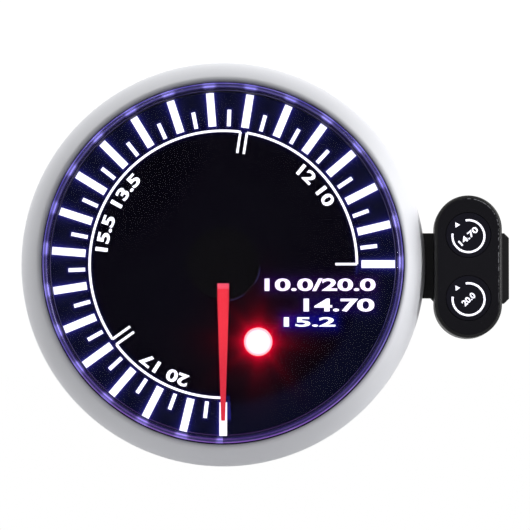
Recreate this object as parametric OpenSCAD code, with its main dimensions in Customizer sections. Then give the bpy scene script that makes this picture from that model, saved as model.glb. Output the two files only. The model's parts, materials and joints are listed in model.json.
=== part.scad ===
// Round dashboard gauge with a lit dial, a geared needle drive and a two-button pod
// Drawn with the dial facing +Z, then turned so that the dial faces -Y and +Z is up

/* [Gauge housing] */
// Diameter of the glass that shows inside the bezel
glass_d = 60; // [57:0.5:63]
// Width of the bezel ring, from the glass to its outside
bezel_w = 3.8; // [3.4:0.1:5]
// Thickness of the bezel lip over the edge of the lens
bezel_lip_t = 1.2; // [1:0.1:1.6]
// Radius of the large curve down the bezel's flank
bezel_flank_r = 9.5; // [9:0.5:14]
// Radius of the bezel's crown
bezel_crown_r = 0.9; // [0.6:0.1:1]
// How far the barrel that goes through the dashboard lies inside the edge of the glass
barrel_inset = 0.3; // [0.2:0.1:0.7]
// Depth of the barrel behind the dashboard panel
barrel_depth = 26; // [24:0.5:34]
// Wall of the barrel
barrel_wall = 2.3; // [2:0.1:2.6]
// Thickness of the wall behind the flange seat
flange_floor = 0.6; // [0.5:0.1:1]
// Wall of the flange round the dial
flange_wall = 2; // [1.6:0.1:2.1]
// Thickness of the rear cover
cover_t = 2; // [1.6:0.1:3]
// Distance from the barrel's inside to the rear cover's screws
cover_screw_inset = 2.4; // [2:0.1:2.8]
// Radius of the rear cover's screw shanks
cover_screw_r = 1.25; // [1:0.05:1.4]
// Radius of the posts that take the rear cover's screws
cover_post_r = 2.6; // [2.2:0.1:2.8]
// Distance between the two clamp studs
stud_spacing = 36; // [34:0.5:38]
// Radius of the clamp studs
stud_r = 2; // [1.5:0.25:2.5]
// Length of the clamp studs behind the rear cover
stud_length = 16; // [10:1:30]

/* [Lens] */
// Height by which the lens stands over its lip
lens_proud = 2.1; // [1.6:0.1:3]
// Width of the bevel round the lens
lens_bevel_w = 1; // [0.6:0.1:1.4]
// Depth of the bevel round the lens
lens_bevel_h = 0.8; // [0.5:0.1:1.2]
// Thickness of the lens lip under the bezel
lens_lip_t = 1; // [0.8:0.1:1.4]
// Thickness of the gasket under the lens
gasket_t = 0.4; // [0.3:0.05:0.6]

/* [Dial] */
// Thickness of the black mask
mask_t = 0.25; // [0.2:0.05:0.4]
// Thickness of the diffuser under the mask
diffuser_t = 0.7; // [0.5:0.1:1]
// Thickness of the light guide
guide_t = 1; // [0.8:0.1:1.5]
// Height of the light tray
tray_h = 3.8; // [3.4:0.1:5]
// Height of the ring that holds the dial down
retainer_h = 2.95; // [2.8:0.05:4]
// Number of large marks
major_count = 21; // [11:1:31]
// Angle that the scale covers
scale_sweep = 270; // [180:5:300]
// Length of the large marks
major_l = 5.6; // [4:0.1:6]
// Width of the large marks
major_w = 1.3; // [0.8:0.05:1.5]
// Length of the small marks
minor_l = 2.8; // [1.5:0.1:3.5]
// Width of the small marks
minor_w = 0.65; // [0.4:0.05:0.8]
// Width of the scale line
line_w = 0.42; // [0.3:0.02:0.6]
// Length of the zone lines that run in from the scale line
zone_line_l = 3.4; // [2:0.1:5]
// Half the gap between a pair of zone lines
zone_gap = 0.55; // [0.45:0.05:1]
// Angles at which the scale is split into zones
zone_angles = [54.45, 188.8];
// Place of the peak lamp, to the right of the needle's axis
lamp_x = 5.83; // [5:0.01:7]
// Place of the peak lamp, below the needle's axis
lamp_drop = 12.97; // [12.5:0.01:14]
// Radius of the peak lamp's window
lamp_r = 2.3; // [2:0.05:2.5]

/* [Needle] */
// Width of the needle at its root
needle_root_w = 1.95; // [1.5:0.05:2.2]
// Width of the needle at its tip
needle_tip_w = 0.65; // [0.5:0.05:0.9]
// Height of the needle's bar
needle_t = 1; // [0.7:0.1:1.2]
// Radius at which the needle shows
needle_start_r = 3.3; // [2.5:0.1:4]
// Radius of the cap over the needle's hub
cap_r = 6; // [5:0.1:7]

/* [Needle drive] */
// Size of the gear teeth
gear_module = 0.15; // [0.14:0.005:0.16]
// Teeth of the output wheel
output_teeth = 90; // [84:1:92]
// Teeth of the intermediate wheel
middle_teeth = 72; // [66:1:74]
// Teeth of both pinions
pinion_teeth = 6; // [6:1:7]
// Thickness of the output wheel
output_wheel_t = 0.9; // [0.7:0.05:1]
// Thickness of the intermediate wheel
middle_wheel_t = 0.7; // [0.5:0.05:0.8]
// Radius of the output shaft
shaft_r = 0.75; // [0.6:0.05:0.9]
// Radius of the journals of the two arbors
journal_r = 0.28; // [0.24:0.01:0.28]
// Radius of the rotor magnet
magnet_r = 3; // [2.6:0.1:3.2]
// Height of the rotor magnet
magnet_h = 2.6; // [2:0.1:2.8]
// Width of the motor case
motor_w = 24.4; // [24.2:0.1:25]
// Wall of the motor case
motor_wall = 0.9; // [0.7:0.1:1]

/* [Boards and sockets] */
// Thickness of the circuit boards in the housing
board_t = 1.6; // [1:0.2:2]
// Distance between neighbouring socket pins
pin_pitch = 2; // [1.8:0.1:2.54]
// Height of the hollow in a socket
socket_hollow_h = 5; // [4.8:0.1:5.4]
// Depth of the hollow in a socket
socket_hollow_l = 8; // [7.6:0.1:10]
// Length of the socket pins inside the hollow
pin_l = 3.4; // [2.5:0.1:3.4]
// Wall of the sockets
socket_wall = 0.8; // [0.6:0.1:1]

/* [Button pod] */
// Thickness of the bracket that carries the pod
bracket_t = 2; // [1.6:0.1:3]
// Height of the bracket's arm
arm_h = 11.8; // [10.5:0.1:13]
// Length of the arm past the pod
arm_past = 1.5; // [1:0.1:3]
// How far the middle of the arm and the pod lies below the dial's middle
pod_drop = 0.6; // [0:0.1:1.5]
// Width of the pod
pod_w = 11.2; // [11:0.1:13]
// Length of the pod past the middle of each button
pod_end = 6.625; // [6.25:0.125:6.875]
// Gap between the bezel and the pod
pod_gap = 1.4; // [1:0.1:4]
// Thickness of the pod's back plate
pod_back_t = 1.2; // [1:0.1:1.6]
// Height of the pod's shell
pod_shell_h = 5.8; // [5.6:0.1:7]
// Wall of the pod's shell
pod_wall = 1; // [0.8:0.05:1.05]
// Radius of the rounding round the pod's face
pod_edge_r = 0.45; // [0.3:0.05:0.5]
// Thickness of the pod's face film
film_t = 0.3; // [0.2:0.05:0.4]
// Diameter of the buttons
button_d = 7.4; // [7:0.1:7.6]
// Distance between the two buttons
button_pitch = 10.5; // [9.5:0.1:11]
// Travel of the buttons
button_travel = 0.35; // [0.2:0.05:0.35]

/* [Fits] */
// Gap round pieces that drop into the housing
seat_gap = 0.1; // [0.05:0.01:0.12]
// Gap between a turning shaft and its hole
running_gap = 0.04; // [0.02:0.01:0.05]
// Gap round a button
button_gap = 0.1; // [0.08:0.01:0.15]
// Play between gear teeth
tooth_play = 0.02; // [0.015:0.005:0.03]
// Gap round the sockets in the rear cover
window_gap = 0.3; // [0.2:0.05:0.5]

/* [Hidden] */
$fn = 96;
// One overrun serves every cut
over = 0.5;
// Colours of the pieces
white_plastic = "whitesmoke";
black_plastic = "#151517";
dark_plastic = "#2a2b2e";
board_green = "#1d5a36";
steel = "#b8bcc2";
needle_red = "#e0283a";

// Radii of the housing
glass_r = glass_d / 2;
bezel_r = glass_r + bezel_w;
barrel_r = glass_r - barrel_inset;
lens_gap = 0.2;
bezel_lip_r = glass_r + lens_gap;
rim_hide = 0.7;
flange_in_r = glass_r - rim_hide;
flange_r = flange_in_r + flange_wall;
bead_h = 0.15;
bead_w = 1;
bead_rise = 1.4;
neck_rise = 0.5;
neck_r = barrel_r + neck_rise;
barrel_in_r = barrel_r - barrel_wall;
ledge_w = 0.7;
board_seat_r = barrel_in_r + ledge_w;
rear_chamfer = 0.4;

// Levels of the housing, counted from the dashboard panel
flange_z = bracket_t;
seat_z = flange_z + flange_floor;
diffuser_z = seat_z + guide_t;
mask_z = diffuser_z + diffuser_t;
dial_z = mask_z + mask_t;
rim_z = dial_z + retainer_h;
lens_z = rim_z + gasket_t;
lip_z = lens_z + lens_lip_t;
lens_front_z = lip_z + lens_proud;
bezel_front_z = lip_z + bezel_lip_t;
flank_rise = 1.2;
flank_z = flange_z + flank_rise;
lens_step = 0.7;
board_z = seat_z - tray_h;
board_back_z = board_z - board_t;
cover_z = cover_t - barrel_depth;
rear_room = 3.4;
interface_back_z = cover_z + rear_room;
interface_z = interface_back_z + board_t;

// Lens and gasket
lens_lip_w = 0.9;
lens_lip_r = glass_r + lens_lip_w;
lens_pocket_w = 1.6;
lens_pocket_r = glass_r - lens_pocket_w;
gasket_w = 1.2;

// Dial marks
dial_gap = 0.1;
dial_r = flange_in_r - dial_gap;
dial_edge = 0.55;
major_out_r = dial_r - dial_edge;
major_in_r = major_out_r - major_l;
minor_out_r = major_in_r + minor_l;
line_gap = 0.75;
line_r = major_in_r - line_gap;
major_step = scale_sweep / (major_count - 1);
retainer_wall = 0.45;
hub_hole_r = 2.2;
lamp_gap = 0.05;
sleeve_wall = 0.6;
sleeve_ledge = 0.4;
sleeve_r = lamp_r + sleeve_wall;
sleeve_in_r = lamp_r - sleeve_ledge;
window_t = mask_t + diffuser_t;
led_r = 1.5;
led_flange_r = 1.75;
led_flange_h = 1;
led_top_gap = 0.6;

// Light tray and its lamps
tray_wall = 1;
tray_floor = 0.8;
tray_r = board_seat_r - seat_gap;
tray_core_r = 8.5;
lamp_ring_inset = 2.6;
lamp_ring_r = tray_r - lamp_ring_inset;
lamp_l = 2;
lamp_w = 1.25;
lamp_window_gap = 0.2;
needle_lamp_r = 5;
needle_lamp_count = 4;

// Needle and its hub
hub_r = 1.6;
hub_foot_z = dial_z - window_t - guide_t - guide_t;
needle_lift = 1.05;
needle_z = dial_z + needle_lift;
root_share = 0.4;
root_t = needle_t * root_share;
cap_drop = 0.4;
cap_t = 0.8;
cap_wall = 0.6;
cap_z = needle_z + root_t;
slot_gap = 0.06;
tip_inset = 2.5;
needle_tip_r = major_out_r - tip_inset;
shaft_tip_r = 0.5;
shaft_tip_gap = 0.3;

// Gear train, behind the main board
pressure_angle = 20;
wheel_addendum = 0.7;
wheel_dedendum = 1.35;
pinion_addendum = 1;
pinion_dedendum = 1.1;
flank_steps = 2;
first_centres = gear_module * (output_teeth + pinion_teeth) / 2;
second_centres = gear_module * (middle_teeth + pinion_teeth) / 2;
middle_y = -first_centres;
rotor_y = middle_y - second_centres;
middle_outer_r = gear_module * (middle_teeth / 2 + wheel_addendum);
output_outer_r = gear_module * (output_teeth / 2 + wheel_addendum);
seat_rise = 0.06;
arbor_seat_r = gear_module * (pinion_teeth / 2 + pinion_addendum) + seat_rise;
plate_t = 1;
motor_h = 10;
case_front_z = board_back_z;
case_inside_z = case_front_z - plate_t;
case_back_z = case_front_z - motor_h;
case_floor_z = case_back_z + plate_t;
case_split_z = case_front_z - motor_h / 2;
wheel_gap = 0.3;
bearing_h = 0.8;
blind_depth = 0.6;
output_z = case_inside_z - bearing_h - wheel_gap;
output_back_z = output_z - output_wheel_t;
middle_z = output_back_z - output_wheel_t;
middle_back_z = middle_z - middle_wheel_t;
pinion_lap = 0.1;
magnet_gap = 0.2;
magnet_z = case_floor_z + bearing_h / 2 + magnet_gap;
stator_t = 1;
stator_z = magnet_z + (magnet_h - stator_t) / 2;
bearing_wall = 0.9;
bearing_r = journal_r + running_gap + bearing_wall;
shaft_bearing_r = shaft_r + running_gap + bearing_wall;
shaft_foot_r = shaft_r * 2 / 3;
locating_r = 3;
air_gap = 0.35;
stator_ring_w = 1.05;
stator_gap = 0.15;
leg_w = 3;
bar_w = 2.6;
coil_gap = 0.1;
bobbin_wall = 0.5;
bobbin_flange_t = 0.7;
bobbin_w = 5.2;
bobbin_h = 3.4;
winding_inset = 0.15;
coil_l = 11;
coil_side_gap = 0.2;
leg_x = motor_w / 2 - motor_wall - coil_side_gap - bobbin_w / 2;
yoke_y = shaft_bearing_r + leg_w / 2 + coil_side_gap;
coil_top_y = yoke_y - leg_w / 2 - coil_gap;
case_corner_r = 3;
case_room = 0.45;
case_top_y = output_outer_r + case_room + motor_wall;
stator_bore_r = magnet_r + air_gap;
stator_ring_r = stator_bore_r + stator_ring_w;
case_bottom_y = rotor_y - stator_ring_r - stator_gap - motor_wall;
hole_ring_share = 0.62;
wheel_holes = 5;
wheel_hole_share = 0.17;
contact_pin_r = 0.4;
contact_pin_inset = 2;

// Boards and what they carry
interface_gap = 0.4;
cover_screw_ring_r = barrel_in_r - cover_screw_inset;
interface_r = cover_screw_ring_r - cover_post_r - interface_gap;
board_r = board_seat_r - seat_gap;
spacer_x = 15;
spacer_y = 11;
spacer_r = 1.6;
spacer_screw_r = 0.8;
small_head_h = 1;
chip_side = 7;
chip_h = 1.2;
driver_size = [5, 4, 1.4];
chip_x = 18;
driver_y = 12;
buzzer_r = 4.5;
buzzer_h = 5;
buzzer_hole_r = 0.8;
buzzer_x = 18;
capacitor_r = 3.15;
capacitor_h = 7;
capacitor_x = 16.8;
capacitor_step = 6.8;
capacitor_foot = 0.8;
regulator_size = [6.5, 6.1, 2.3];
regulator_x = 18;
header_w = 10.2;
header_h = 2.5;
header_y = 16.5;

// Sockets in the rear cover
power_pins = 4;
sensor_pins = 3;
pod_pins = 4;
socket_floor = 1;
socket_side = 4.6;
socket_step = 10;
pin_side = 0.5;
key_w = 1.2;
key_depth = 3;
socket_back_z = interface_back_z - socket_floor - socket_hollow_l;

// Rear cover, its screws and the studs
cover_r = barrel_in_r - seat_gap;
cover_angles = [90, 210, 330];
screw_head_r = 2.2;
screw_head_h = 1.1;
screw_l = 8;
post_l = 10;
slot_w = 0.5;
slot_depth = 0.5;
stud_head_h = 2.2;
stud_head_share = 1.75;
stud_head_r = stud_r * stud_head_share;
collar_rise = 0.4;
collar_r = stud_r + collar_rise;
collar_proud = 0.4;

// Bracket and pod
ring_inset = 0.1;
bracket_ring_r = bezel_r - ring_inset;
bracket_hole_r = neck_r + seat_gap;
pod_x = bezel_r + pod_gap + pod_w / 2;
pod_l = button_pitch + 2 * pod_end;
arm_end_x = pod_x + pod_w / 2 + arm_past;
arm_chamfer = 0.8;
arm_step = 0.9;
arm_step_x = pod_x - pod_w / 2 + arm_step / 2;
pod_z = bracket_t;
pod_shell_z = pod_z + pod_back_t;
pod_face_z = pod_shell_z + pod_shell_h;
pod_roof_z = pod_face_z - pod_wall;
film_z = pod_face_z + film_t;
film_inset = 0.5;
button_r = button_d / 2;
button_y = button_pitch / 2;
button_flange_w = 0.4;
button_flange_t = 0.5;
button_flange_r = button_r + button_flange_w;
button_flange_z = pod_roof_z - button_gap - button_flange_t;
button_stem_r = 1;
pod_board_t = 1;
pod_board_rise = 1;
pod_board_z = pod_shell_z + pod_board_rise;
pod_board_top_z = pod_board_z + pod_board_t;
pod_board_gap = 0.3;
pod_post_r = 1.5;
bracket_screw_r = 0.9;
bracket_head_r = 1.8;
bracket_head_h = 0.9;
switch_side = 3.5;
switch_h = 1.2;
switch_floor = 0.2;
switch_top_z = pod_board_top_z + switch_h;
plunger_r = 0.8;
plunger_rise = 0.55;
plunger_top_z = switch_top_z + plunger_rise;
plunger_dip = 0.45;
pod_led_size = [1.6, 0.8, 0.6];
pod_led_x = 2.8;
boss_r = 1.3;
boss_gap = 0.2;
boss_inset = 2;
boss_y = pod_l / 2 - boss_inset;
boss_z = button_flange_z - button_travel - boss_gap;
pod_screw_r = 0.7;
pod_head_r = 1.2;
pod_head_h = 0.6;
grommet_r = 1.4;
grommet_bore_r = 0.9;
grommet_flange_r = 1.65;
grommet_flange_t = 0.5;
grommet_gap = 0.1;
grommet_y = boss_y - boss_r - grommet_gap - grommet_flange_r;
pod_post_y = grommet_y - grommet_flange_r - grommet_gap - pod_post_r;

// Number of straight steps in the round stretches of outlines
flank_arc_steps = 14;
crown_steps = 10;
edge_steps = 6;

// Points on a round stretch of an outline
function arc_points(centre, r, from, to, steps) =
    [for (i = [0 : steps]) let (a = from + (to - from) * i / steps)
        centre + r * [cos(a), sin(a)]];

// Involute function, in degrees
function involute(a) = tan(a) * 180 / PI - a;

// Half the angle that a tooth covers at radius r
function tooth_half_angle(teeth, r) =
    let (pitch_r = gear_module * teeth / 2, base_r = pitch_r * cos(pressure_angle))
    90 / teeth - tooth_play * 90 / (PI * pitch_r) + involute(pressure_angle)
        - involute(acos(min(1, base_r / r)));

// Outline of a gear with a tooth on its +X side
function gear_points(teeth, addendum, dedendum) =
    let (tip_r = gear_module * (teeth / 2 + addendum), root_r = gear_module * (teeth / 2 - dedendum))
    [for (i = [0 : teeth - 1], side = [-1, 1], k = [0 : flank_steps])
        let (rise = (side < 0 ? k : flank_steps - k) / flank_steps,
            r = root_r + (tip_r - root_r) * rise,
            a = i * 360 / teeth + side * tooth_half_angle(teeth, r))
        r * [cos(a), sin(a)]];

// Turns a piece drawn with the dial up so that the dial faces -Y
module upright() {
    rotate([90, 0, 0]) children();
}

// Round plate or ring, its axis on Z
module ring(outer_r, inner_r, z, h) {
    translate([0, 0, z]) linear_extrude(height = h) difference() {
        circle(r = outer_r);
        if (inner_r > 0) circle(r = inner_r);
    }
}

// Round rod from one level up to another
module rod(r, from, to) {
    translate([0, 0, from]) cylinder(r = r, h = to - from);
}

// Box centred on Z, from one level up to another
module block(w, l, from, to) {
    translate([-w / 2, -l / 2, from]) cube([w, l, to - from]);
}

// Copies at even angles round the axis
module round_copies(count, r, first = 0) {
    for (i = [0 : count - 1]) rotate([0, 0, first + i * 360 / count]) translate([r, 0, 0]) children();
}

// Turns a piece to a place on the scale, counted clockwise from straight down
module at_scale(angle) {
    rotate([0, 0, -90 - angle]) children();
}

// Outline with straight sides and half-round ends, drawn in by inset
module pod_outline(inset) {
    union() {
        square([pod_w - 2 * inset, pod_l - pod_w], center = true);
        for (side = [-1, 1]) translate([0, side * (pod_l - pod_w) / 2]) circle(r = pod_w / 2 - inset);
    }
}

module rounded_outline(w, bottom, top, corner_r) {
    union() {
        translate([-w / 2, bottom + corner_r]) square([w, top - bottom - 2 * corner_r]);
        translate([corner_r - w / 2, bottom]) square([w - 2 * corner_r, top - bottom]);
        for (side = [-1, 1]) {
            translate([side * (w / 2 - corner_r), bottom + corner_r]) circle(r = corner_r);
            translate([side * (w / 2 - corner_r), top - corner_r]) circle(r = corner_r);
        }
    }
}

module bezel_profile() {
    flank_centre = [bezel_r - bezel_flank_r, flank_z];
    crown_z = bezel_front_z - bezel_crown_r;
    reach = bezel_flank_r - bezel_crown_r;
    crown_x = flank_centre[0] + sqrt(pow(reach, 2) - pow(crown_z - flank_z, 2));
    meet = atan2(crown_z - flank_z, crown_x - flank_centre[0]);
    last = 180 - acos(min(1, (crown_x - bezel_lip_r) / bezel_crown_r));
    polygon(concat(
        [[flange_r + seat_gap, flange_z], [bezel_r, flange_z]],
        arc_points(flank_centre, bezel_flank_r, 0, meet, flank_arc_steps),
        arc_points([crown_x, crown_z], bezel_crown_r, meet, last, crown_steps),
        [[bezel_lip_r, lip_z], [flange_r + seat_gap, lip_z]]
    ));
}

module bezel_ring() {
    groove_r = flange_r + seat_gap + bead_h;
    color(white_plastic) upright() rotate_extrude() difference() {
        bezel_profile();
        translate([groove_r - bead_h - over, flange_z + bead_rise]) square([bead_h + over, bead_w]);
    }
}

module lens() {
    color("#22183a") upright() rotate_extrude() polygon([
        [0, lens_z + lens_step],
        [lens_pocket_r, lens_z + lens_step],
        [lens_pocket_r, lens_z],
        [lens_lip_r, lens_z],
        [lens_lip_r, lip_z],
        [glass_r, lip_z],
        [glass_r, lens_front_z - lens_bevel_h],
        [glass_r - lens_bevel_w, lens_front_z],
        [0, lens_front_z]
    ]);
}

module lens_gasket() {
    color(black_plastic) upright() ring(lens_lip_r, lens_lip_r - gasket_w, rim_z, gasket_t);
}

module can_profile() {
    bead_z = flange_z + bead_rise + seat_gap;
    polygon([
        [barrel_in_r, -barrel_depth],
        [barrel_r - rear_chamfer, -barrel_depth],
        [barrel_r, rear_chamfer - barrel_depth],
        [barrel_r, 0],
        [neck_r, 0],
        [neck_r, flange_z],
        [flange_r, flange_z],
        [flange_r, bead_z],
        [flange_r + bead_h, bead_z],
        [flange_r, bead_z + bead_w - 2 * seat_gap],
        [flange_r, rim_z],
        [flange_in_r, rim_z],
        [flange_in_r, seat_z],
        [board_seat_r, seat_z],
        [board_seat_r, board_back_z],
        [barrel_in_r, board_back_z]
    ]);
}

module body_can() {
    color(black_plastic) upright() difference() {
        union() {
            rotate_extrude() can_profile();
            intersection() {
                for (a = cover_angles) rotate([0, 0, a]) translate([cover_screw_ring_r, 0, 0])
                    rod(cover_post_r, cover_z, cover_z + post_l);
                rod(barrel_in_r + ledge_w, cover_z, cover_z + post_l);
            }
        }
        for (a = cover_angles) rotate([0, 0, a]) translate([cover_screw_ring_r, 0, 0])
            rod(cover_screw_r, cover_z - over, cover_z + screw_l);
    }
}

module rear_cover() {
    color(black_plastic) upright() difference() {
        rod(cover_r, cover_z - cover_t, cover_z);
        for (a = cover_angles) rotate([0, 0, a]) translate([cover_screw_ring_r, 0, 0])
            rod(cover_screw_r + seat_gap, cover_z - cover_t - over, cover_z + over);
        for (side = [-1, 1]) translate([side * stud_spacing / 2, 0, 0])
            rod(collar_r + running_gap, cover_z - cover_t - over, cover_z + over);
        at_socket(1) socket_window(power_pins);
        at_socket(0) socket_window(sensor_pins);
        at_socket(-1) socket_window(pod_pins);
    }
}

module socket_window(pins) {
    block(socket_w(pins) + 2 * window_gap, socket_h + 2 * window_gap, cover_z - cover_t - over, cover_z + over);
}

module slotted_screw(shank_r, shank_l, head_r, head_h) {
    difference() {
        union() {
            rod(shank_r, -over, shank_l);
            rod(head_r, -head_h, 0);
        }
        block(slot_w, 2 * head_r + over, -head_h - over, slot_depth - head_h);
    }
}

module rear_screws() {
    color(steel) upright() for (a = cover_angles)
        rotate([0, 0, a]) translate([cover_screw_ring_r, 0, cover_z - cover_t])
            slotted_screw(cover_screw_r, screw_l + cover_t - over, screw_head_r, screw_head_h);
}

module clamp_studs() {
    color(steel) upright() for (side = [-1, 1]) translate([side * stud_spacing / 2, 0, 0]) union() {
        rod(stud_r, cover_z - cover_t - stud_length, cover_z);
        rod(collar_r, cover_z - cover_t - collar_proud, cover_z);
        translate([0, 0, cover_z]) cylinder(r = stud_head_r, h = stud_head_h, $fn = 6);
    }
}

module dial_retainer() {
    color(black_plastic) upright() ring(dial_r, dial_r - retainer_wall, dial_z, retainer_h);
}

// Bar that runs outward along +X from the inner end of the marks
module mark(length, width, from, to) {
    translate([major_in_r, -width / 2, from]) cube([length, width, to - from]);
}

module scale_marks(from, to) {
    for (i = [0 : major_count - 1]) at_scale(i * major_step) mark(major_l, major_w, from, to);
    for (i = [0 : major_count - 2]) at_scale((i + 1 / 2) * major_step) mark(minor_l, minor_w, from, to);
}

// Thin line round the scale, open at each zone
module scale_line(from, to) {
    edges = concat([0], zone_angles, [scale_sweep]);
    opening = zone_gap * 180 / (PI * line_r);
    for (i = [0 : len(edges) - 2]) {
        first = edges[i] + (i == 0 ? 0 : opening);
        last = edges[i + 1] - (i == len(edges) - 2 ? 0 : opening);
        rotate([0, 0, -90 - last]) rotate_extrude(angle = last - first)
            translate([line_r - line_w / 2, from]) square([line_w, to - from]);
    }
    for (a = zone_angles, side = [-1, 1]) at_scale(a)
        translate([line_r - line_w / 2 - zone_line_l, side * zone_gap - line_w / 2, from])
            cube([zone_line_l + line_w / 2, line_w, to - from]);
    for (a = [0, scale_sweep]) at_scale(a)
        translate([line_r - line_w / 2 - zone_line_l, -line_w / 2, from])
            cube([zone_line_l + line_w / 2, line_w, to - from]);
}

module at_lamp() {
    translate([lamp_x, -lamp_drop, 0]) children();
}

module dial_mask() {
    color(black_plastic) upright() difference() {
        ring(dial_r, hub_hole_r, mask_z, mask_t);
        at_lamp() rod(lamp_r + lamp_gap, mask_z - over, dial_z + over);
        scale_marks(mask_z - over, dial_z + over);
        scale_line(mask_z - over, dial_z + over);
    }
}

module dial_diffuser() {
    color(white_plastic) upright() difference() {
        ring(dial_r, hub_hole_r, diffuser_z, diffuser_t);
        at_lamp() rod(lamp_r + lamp_gap, diffuser_z - over, mask_z + over);
    }
}

module light_guide() {
    color("#cfe0f2") upright() difference() {
        ring(dial_r, tray_core_r, seat_z, guide_t);
        at_lamp() rod(sleeve_r + lamp_gap, seat_z - over, diffuser_z + over);
    }
}

module light_tray() {
    color(white_plastic) upright() difference() {
        union() {
            ring(tray_r, tray_r - tray_wall, board_z, tray_h);
            ring(tray_r, tray_core_r, board_z, tray_floor);
            ring(tray_core_r + tray_wall, tray_core_r, board_z, tray_h);
        }
        round_copies(major_count - 1, lamp_ring_r) block(
            lamp_w + 2 * lamp_window_gap, lamp_l + 2 * lamp_window_gap, board_z - over, board_z + tray_floor + over);
        at_lamp() rod(sleeve_r + lamp_gap, board_z - over, seat_z + over);
    }
}

module peak_window() {
    color("#ff5a6a") upright() at_lamp() rod(lamp_r, diffuser_z, diffuser_z + window_t);
}

module peak_led() {
    dome_z = diffuser_z - led_top_gap - led_r;
    color("#e8a0a8") upright() at_lamp() rotate_extrude() intersection() {
        union() {
            translate([0, board_z]) square([led_r, dome_z - board_z]);
            translate([0, dome_z]) circle(r = led_r);
            translate([0, board_z]) square([led_flange_r, led_flange_h]);
        }
        translate([0, board_z]) square([led_flange_r, diffuser_z - board_z]);
    }
}

module peak_led_sleeve() {
    color(white_plastic) upright() at_lamp() ring(sleeve_r, sleeve_in_r, board_z, diffuser_z - board_z);
}

module dial_leds() {
    color("#f3e6a0") upright() round_copies(major_count - 1, lamp_ring_r)
        block(lamp_w, lamp_l, board_z, board_z + tray_floor);
}

module needle_leds() {
    color("#f0c8c8") upright() round_copies(needle_lamp_count, needle_lamp_r, 45)
        block(lamp_w, lamp_l, board_z, board_z + tray_floor);
}

module needle_pointer() {
    color(needle_red) upright() difference() {
        translate([0, 0, needle_z]) linear_extrude(height = needle_t) polygon([
            [-needle_root_w / 2, 0],
            [-needle_root_w / 2, -cap_r],
            [-needle_tip_w / 2, -needle_tip_r],
            [needle_tip_w / 2, -needle_tip_r],
            [needle_root_w / 2, -cap_r],
            [needle_root_w / 2, 0]
        ]);
        translate([-needle_root_w, -needle_start_r, cap_z]) cube([2 * needle_root_w, 2 * needle_start_r, needle_t]);
    }
}

module needle_hub() {
    color(dark_plastic) upright() difference() {
        rod(hub_r, hub_foot_z, needle_z);
        rod(shaft_tip_r + running_gap / 2, hub_foot_z - over, needle_z - shaft_tip_gap);
    }
}

module needle_cap() {
    color(black_plastic) upright() difference() {
        rod(cap_r, needle_z - cap_drop, cap_z + cap_t);
        rod(cap_r - cap_wall, needle_z - cap_drop - over, cap_z);
        translate([-needle_root_w / 2 - slot_gap, -cap_r - over, needle_z - cap_drop - over])
            cube([needle_root_w + 2 * slot_gap, cap_r + over - needle_start_r, cap_drop + root_t + cap_t + 2 * over]);
    }
}

// Gear drawn flat, with a tooth towards the given direction
module gear(teeth, addendum, dedendum, direction) {
    rotate([0, 0, direction]) polygon(gear_points(teeth, addendum, dedendum));
}

// Wheel with round lightening holes and a bore
module toothed_wheel(teeth, direction, bore_r, z, h) {
    r = gear_module * teeth / 2;
    translate([0, 0, z]) linear_extrude(height = h) difference() {
        gear(teeth, wheel_addendum, wheel_dedendum, direction);
        circle(r = bore_r);
        round_copies(wheel_holes, r * hole_ring_share) circle(r = r * wheel_hole_share);
    }
}

// Arbor with a pinion cut on it, journals at both ends and a seat for its wheel or magnet
module pinion_arbor(direction, journal_from, journal_to, seat_from, seat_to, pinion_from, pinion_to) {
    rod(journal_r, journal_from, journal_to);
    rod(arbor_seat_r, seat_from, seat_to);
    translate([0, 0, pinion_from]) linear_extrude(height = pinion_to - pinion_from)
        gear(pinion_teeth, pinion_addendum, pinion_dedendum, direction);
}

module output_shaft() {
    color(steel) upright() union() {
        rod(shaft_foot_r, case_floor_z + blind_depth, middle_back_z);
        rod(shaft_r, middle_back_z - blind_depth, board_z);
        rod(shaft_tip_r, board_z, needle_z - shaft_tip_gap);
    }
}

module output_wheel() {
    color(white_plastic) upright() toothed_wheel(output_teeth, -90, shaft_r, output_back_z, output_wheel_t);
}

module intermediate_wheel() {
    color(white_plastic) upright() translate([0, middle_y, 0])
        toothed_wheel(middle_teeth, -90, arbor_seat_r, middle_back_z, middle_wheel_t);
}

// Turn that puts a pinion's gap towards the wheel above it
gap_turn = 90 + 180 / pinion_teeth;

module intermediate_pinion() {
    color(steel) upright() translate([0, middle_y, 0]) pinion_arbor(
        gap_turn, middle_back_z - 2 * bearing_h, case_inside_z + blind_depth / 2,
        middle_back_z - pinion_lap, output_back_z - pinion_lap,
        output_back_z - pinion_lap, output_z + pinion_lap);
}

module rotor_pinion() {
    color(steel) upright() translate([0, rotor_y, 0]) pinion_arbor(
        gap_turn, case_floor_z - blind_depth + magnet_gap / 2, case_inside_z - bearing_h,
        magnet_z, middle_back_z - pinion_lap,
        middle_back_z - pinion_lap, middle_z + pinion_lap);
}

module rotor_magnet() {
    color("#4a4038") upright() translate([0, rotor_y, 0]) ring(magnet_r, arbor_seat_r, magnet_z, magnet_h);
}

module stator_core() {
    bottom_y = rotor_y - bar_w / 2;
    color("#8d9197") upright() translate([0, 0, stator_z]) linear_extrude(height = stator_t) difference() {
        union() {
            translate([0, rotor_y]) circle(r = stator_ring_r);
            translate([-leg_x - leg_w / 2, bottom_y]) square([2 * leg_x + leg_w, bar_w]);
            translate([-leg_x - leg_w / 2, yoke_y - leg_w / 2]) square([2 * leg_x + leg_w, leg_w]);
            for (side = [-1, 1]) translate([side * leg_x - leg_w / 2, bottom_y])
                square([leg_w, yoke_y + leg_w / 2 - bottom_y]);
        }
        translate([0, rotor_y]) circle(r = stator_bore_r);
    }
}

module at_coils() {
    for (side = [-1, 1]) translate([side * leg_x, coil_top_y, stator_z + stator_t / 2])
        rotate([90, 0, 0]) children();
}

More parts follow.
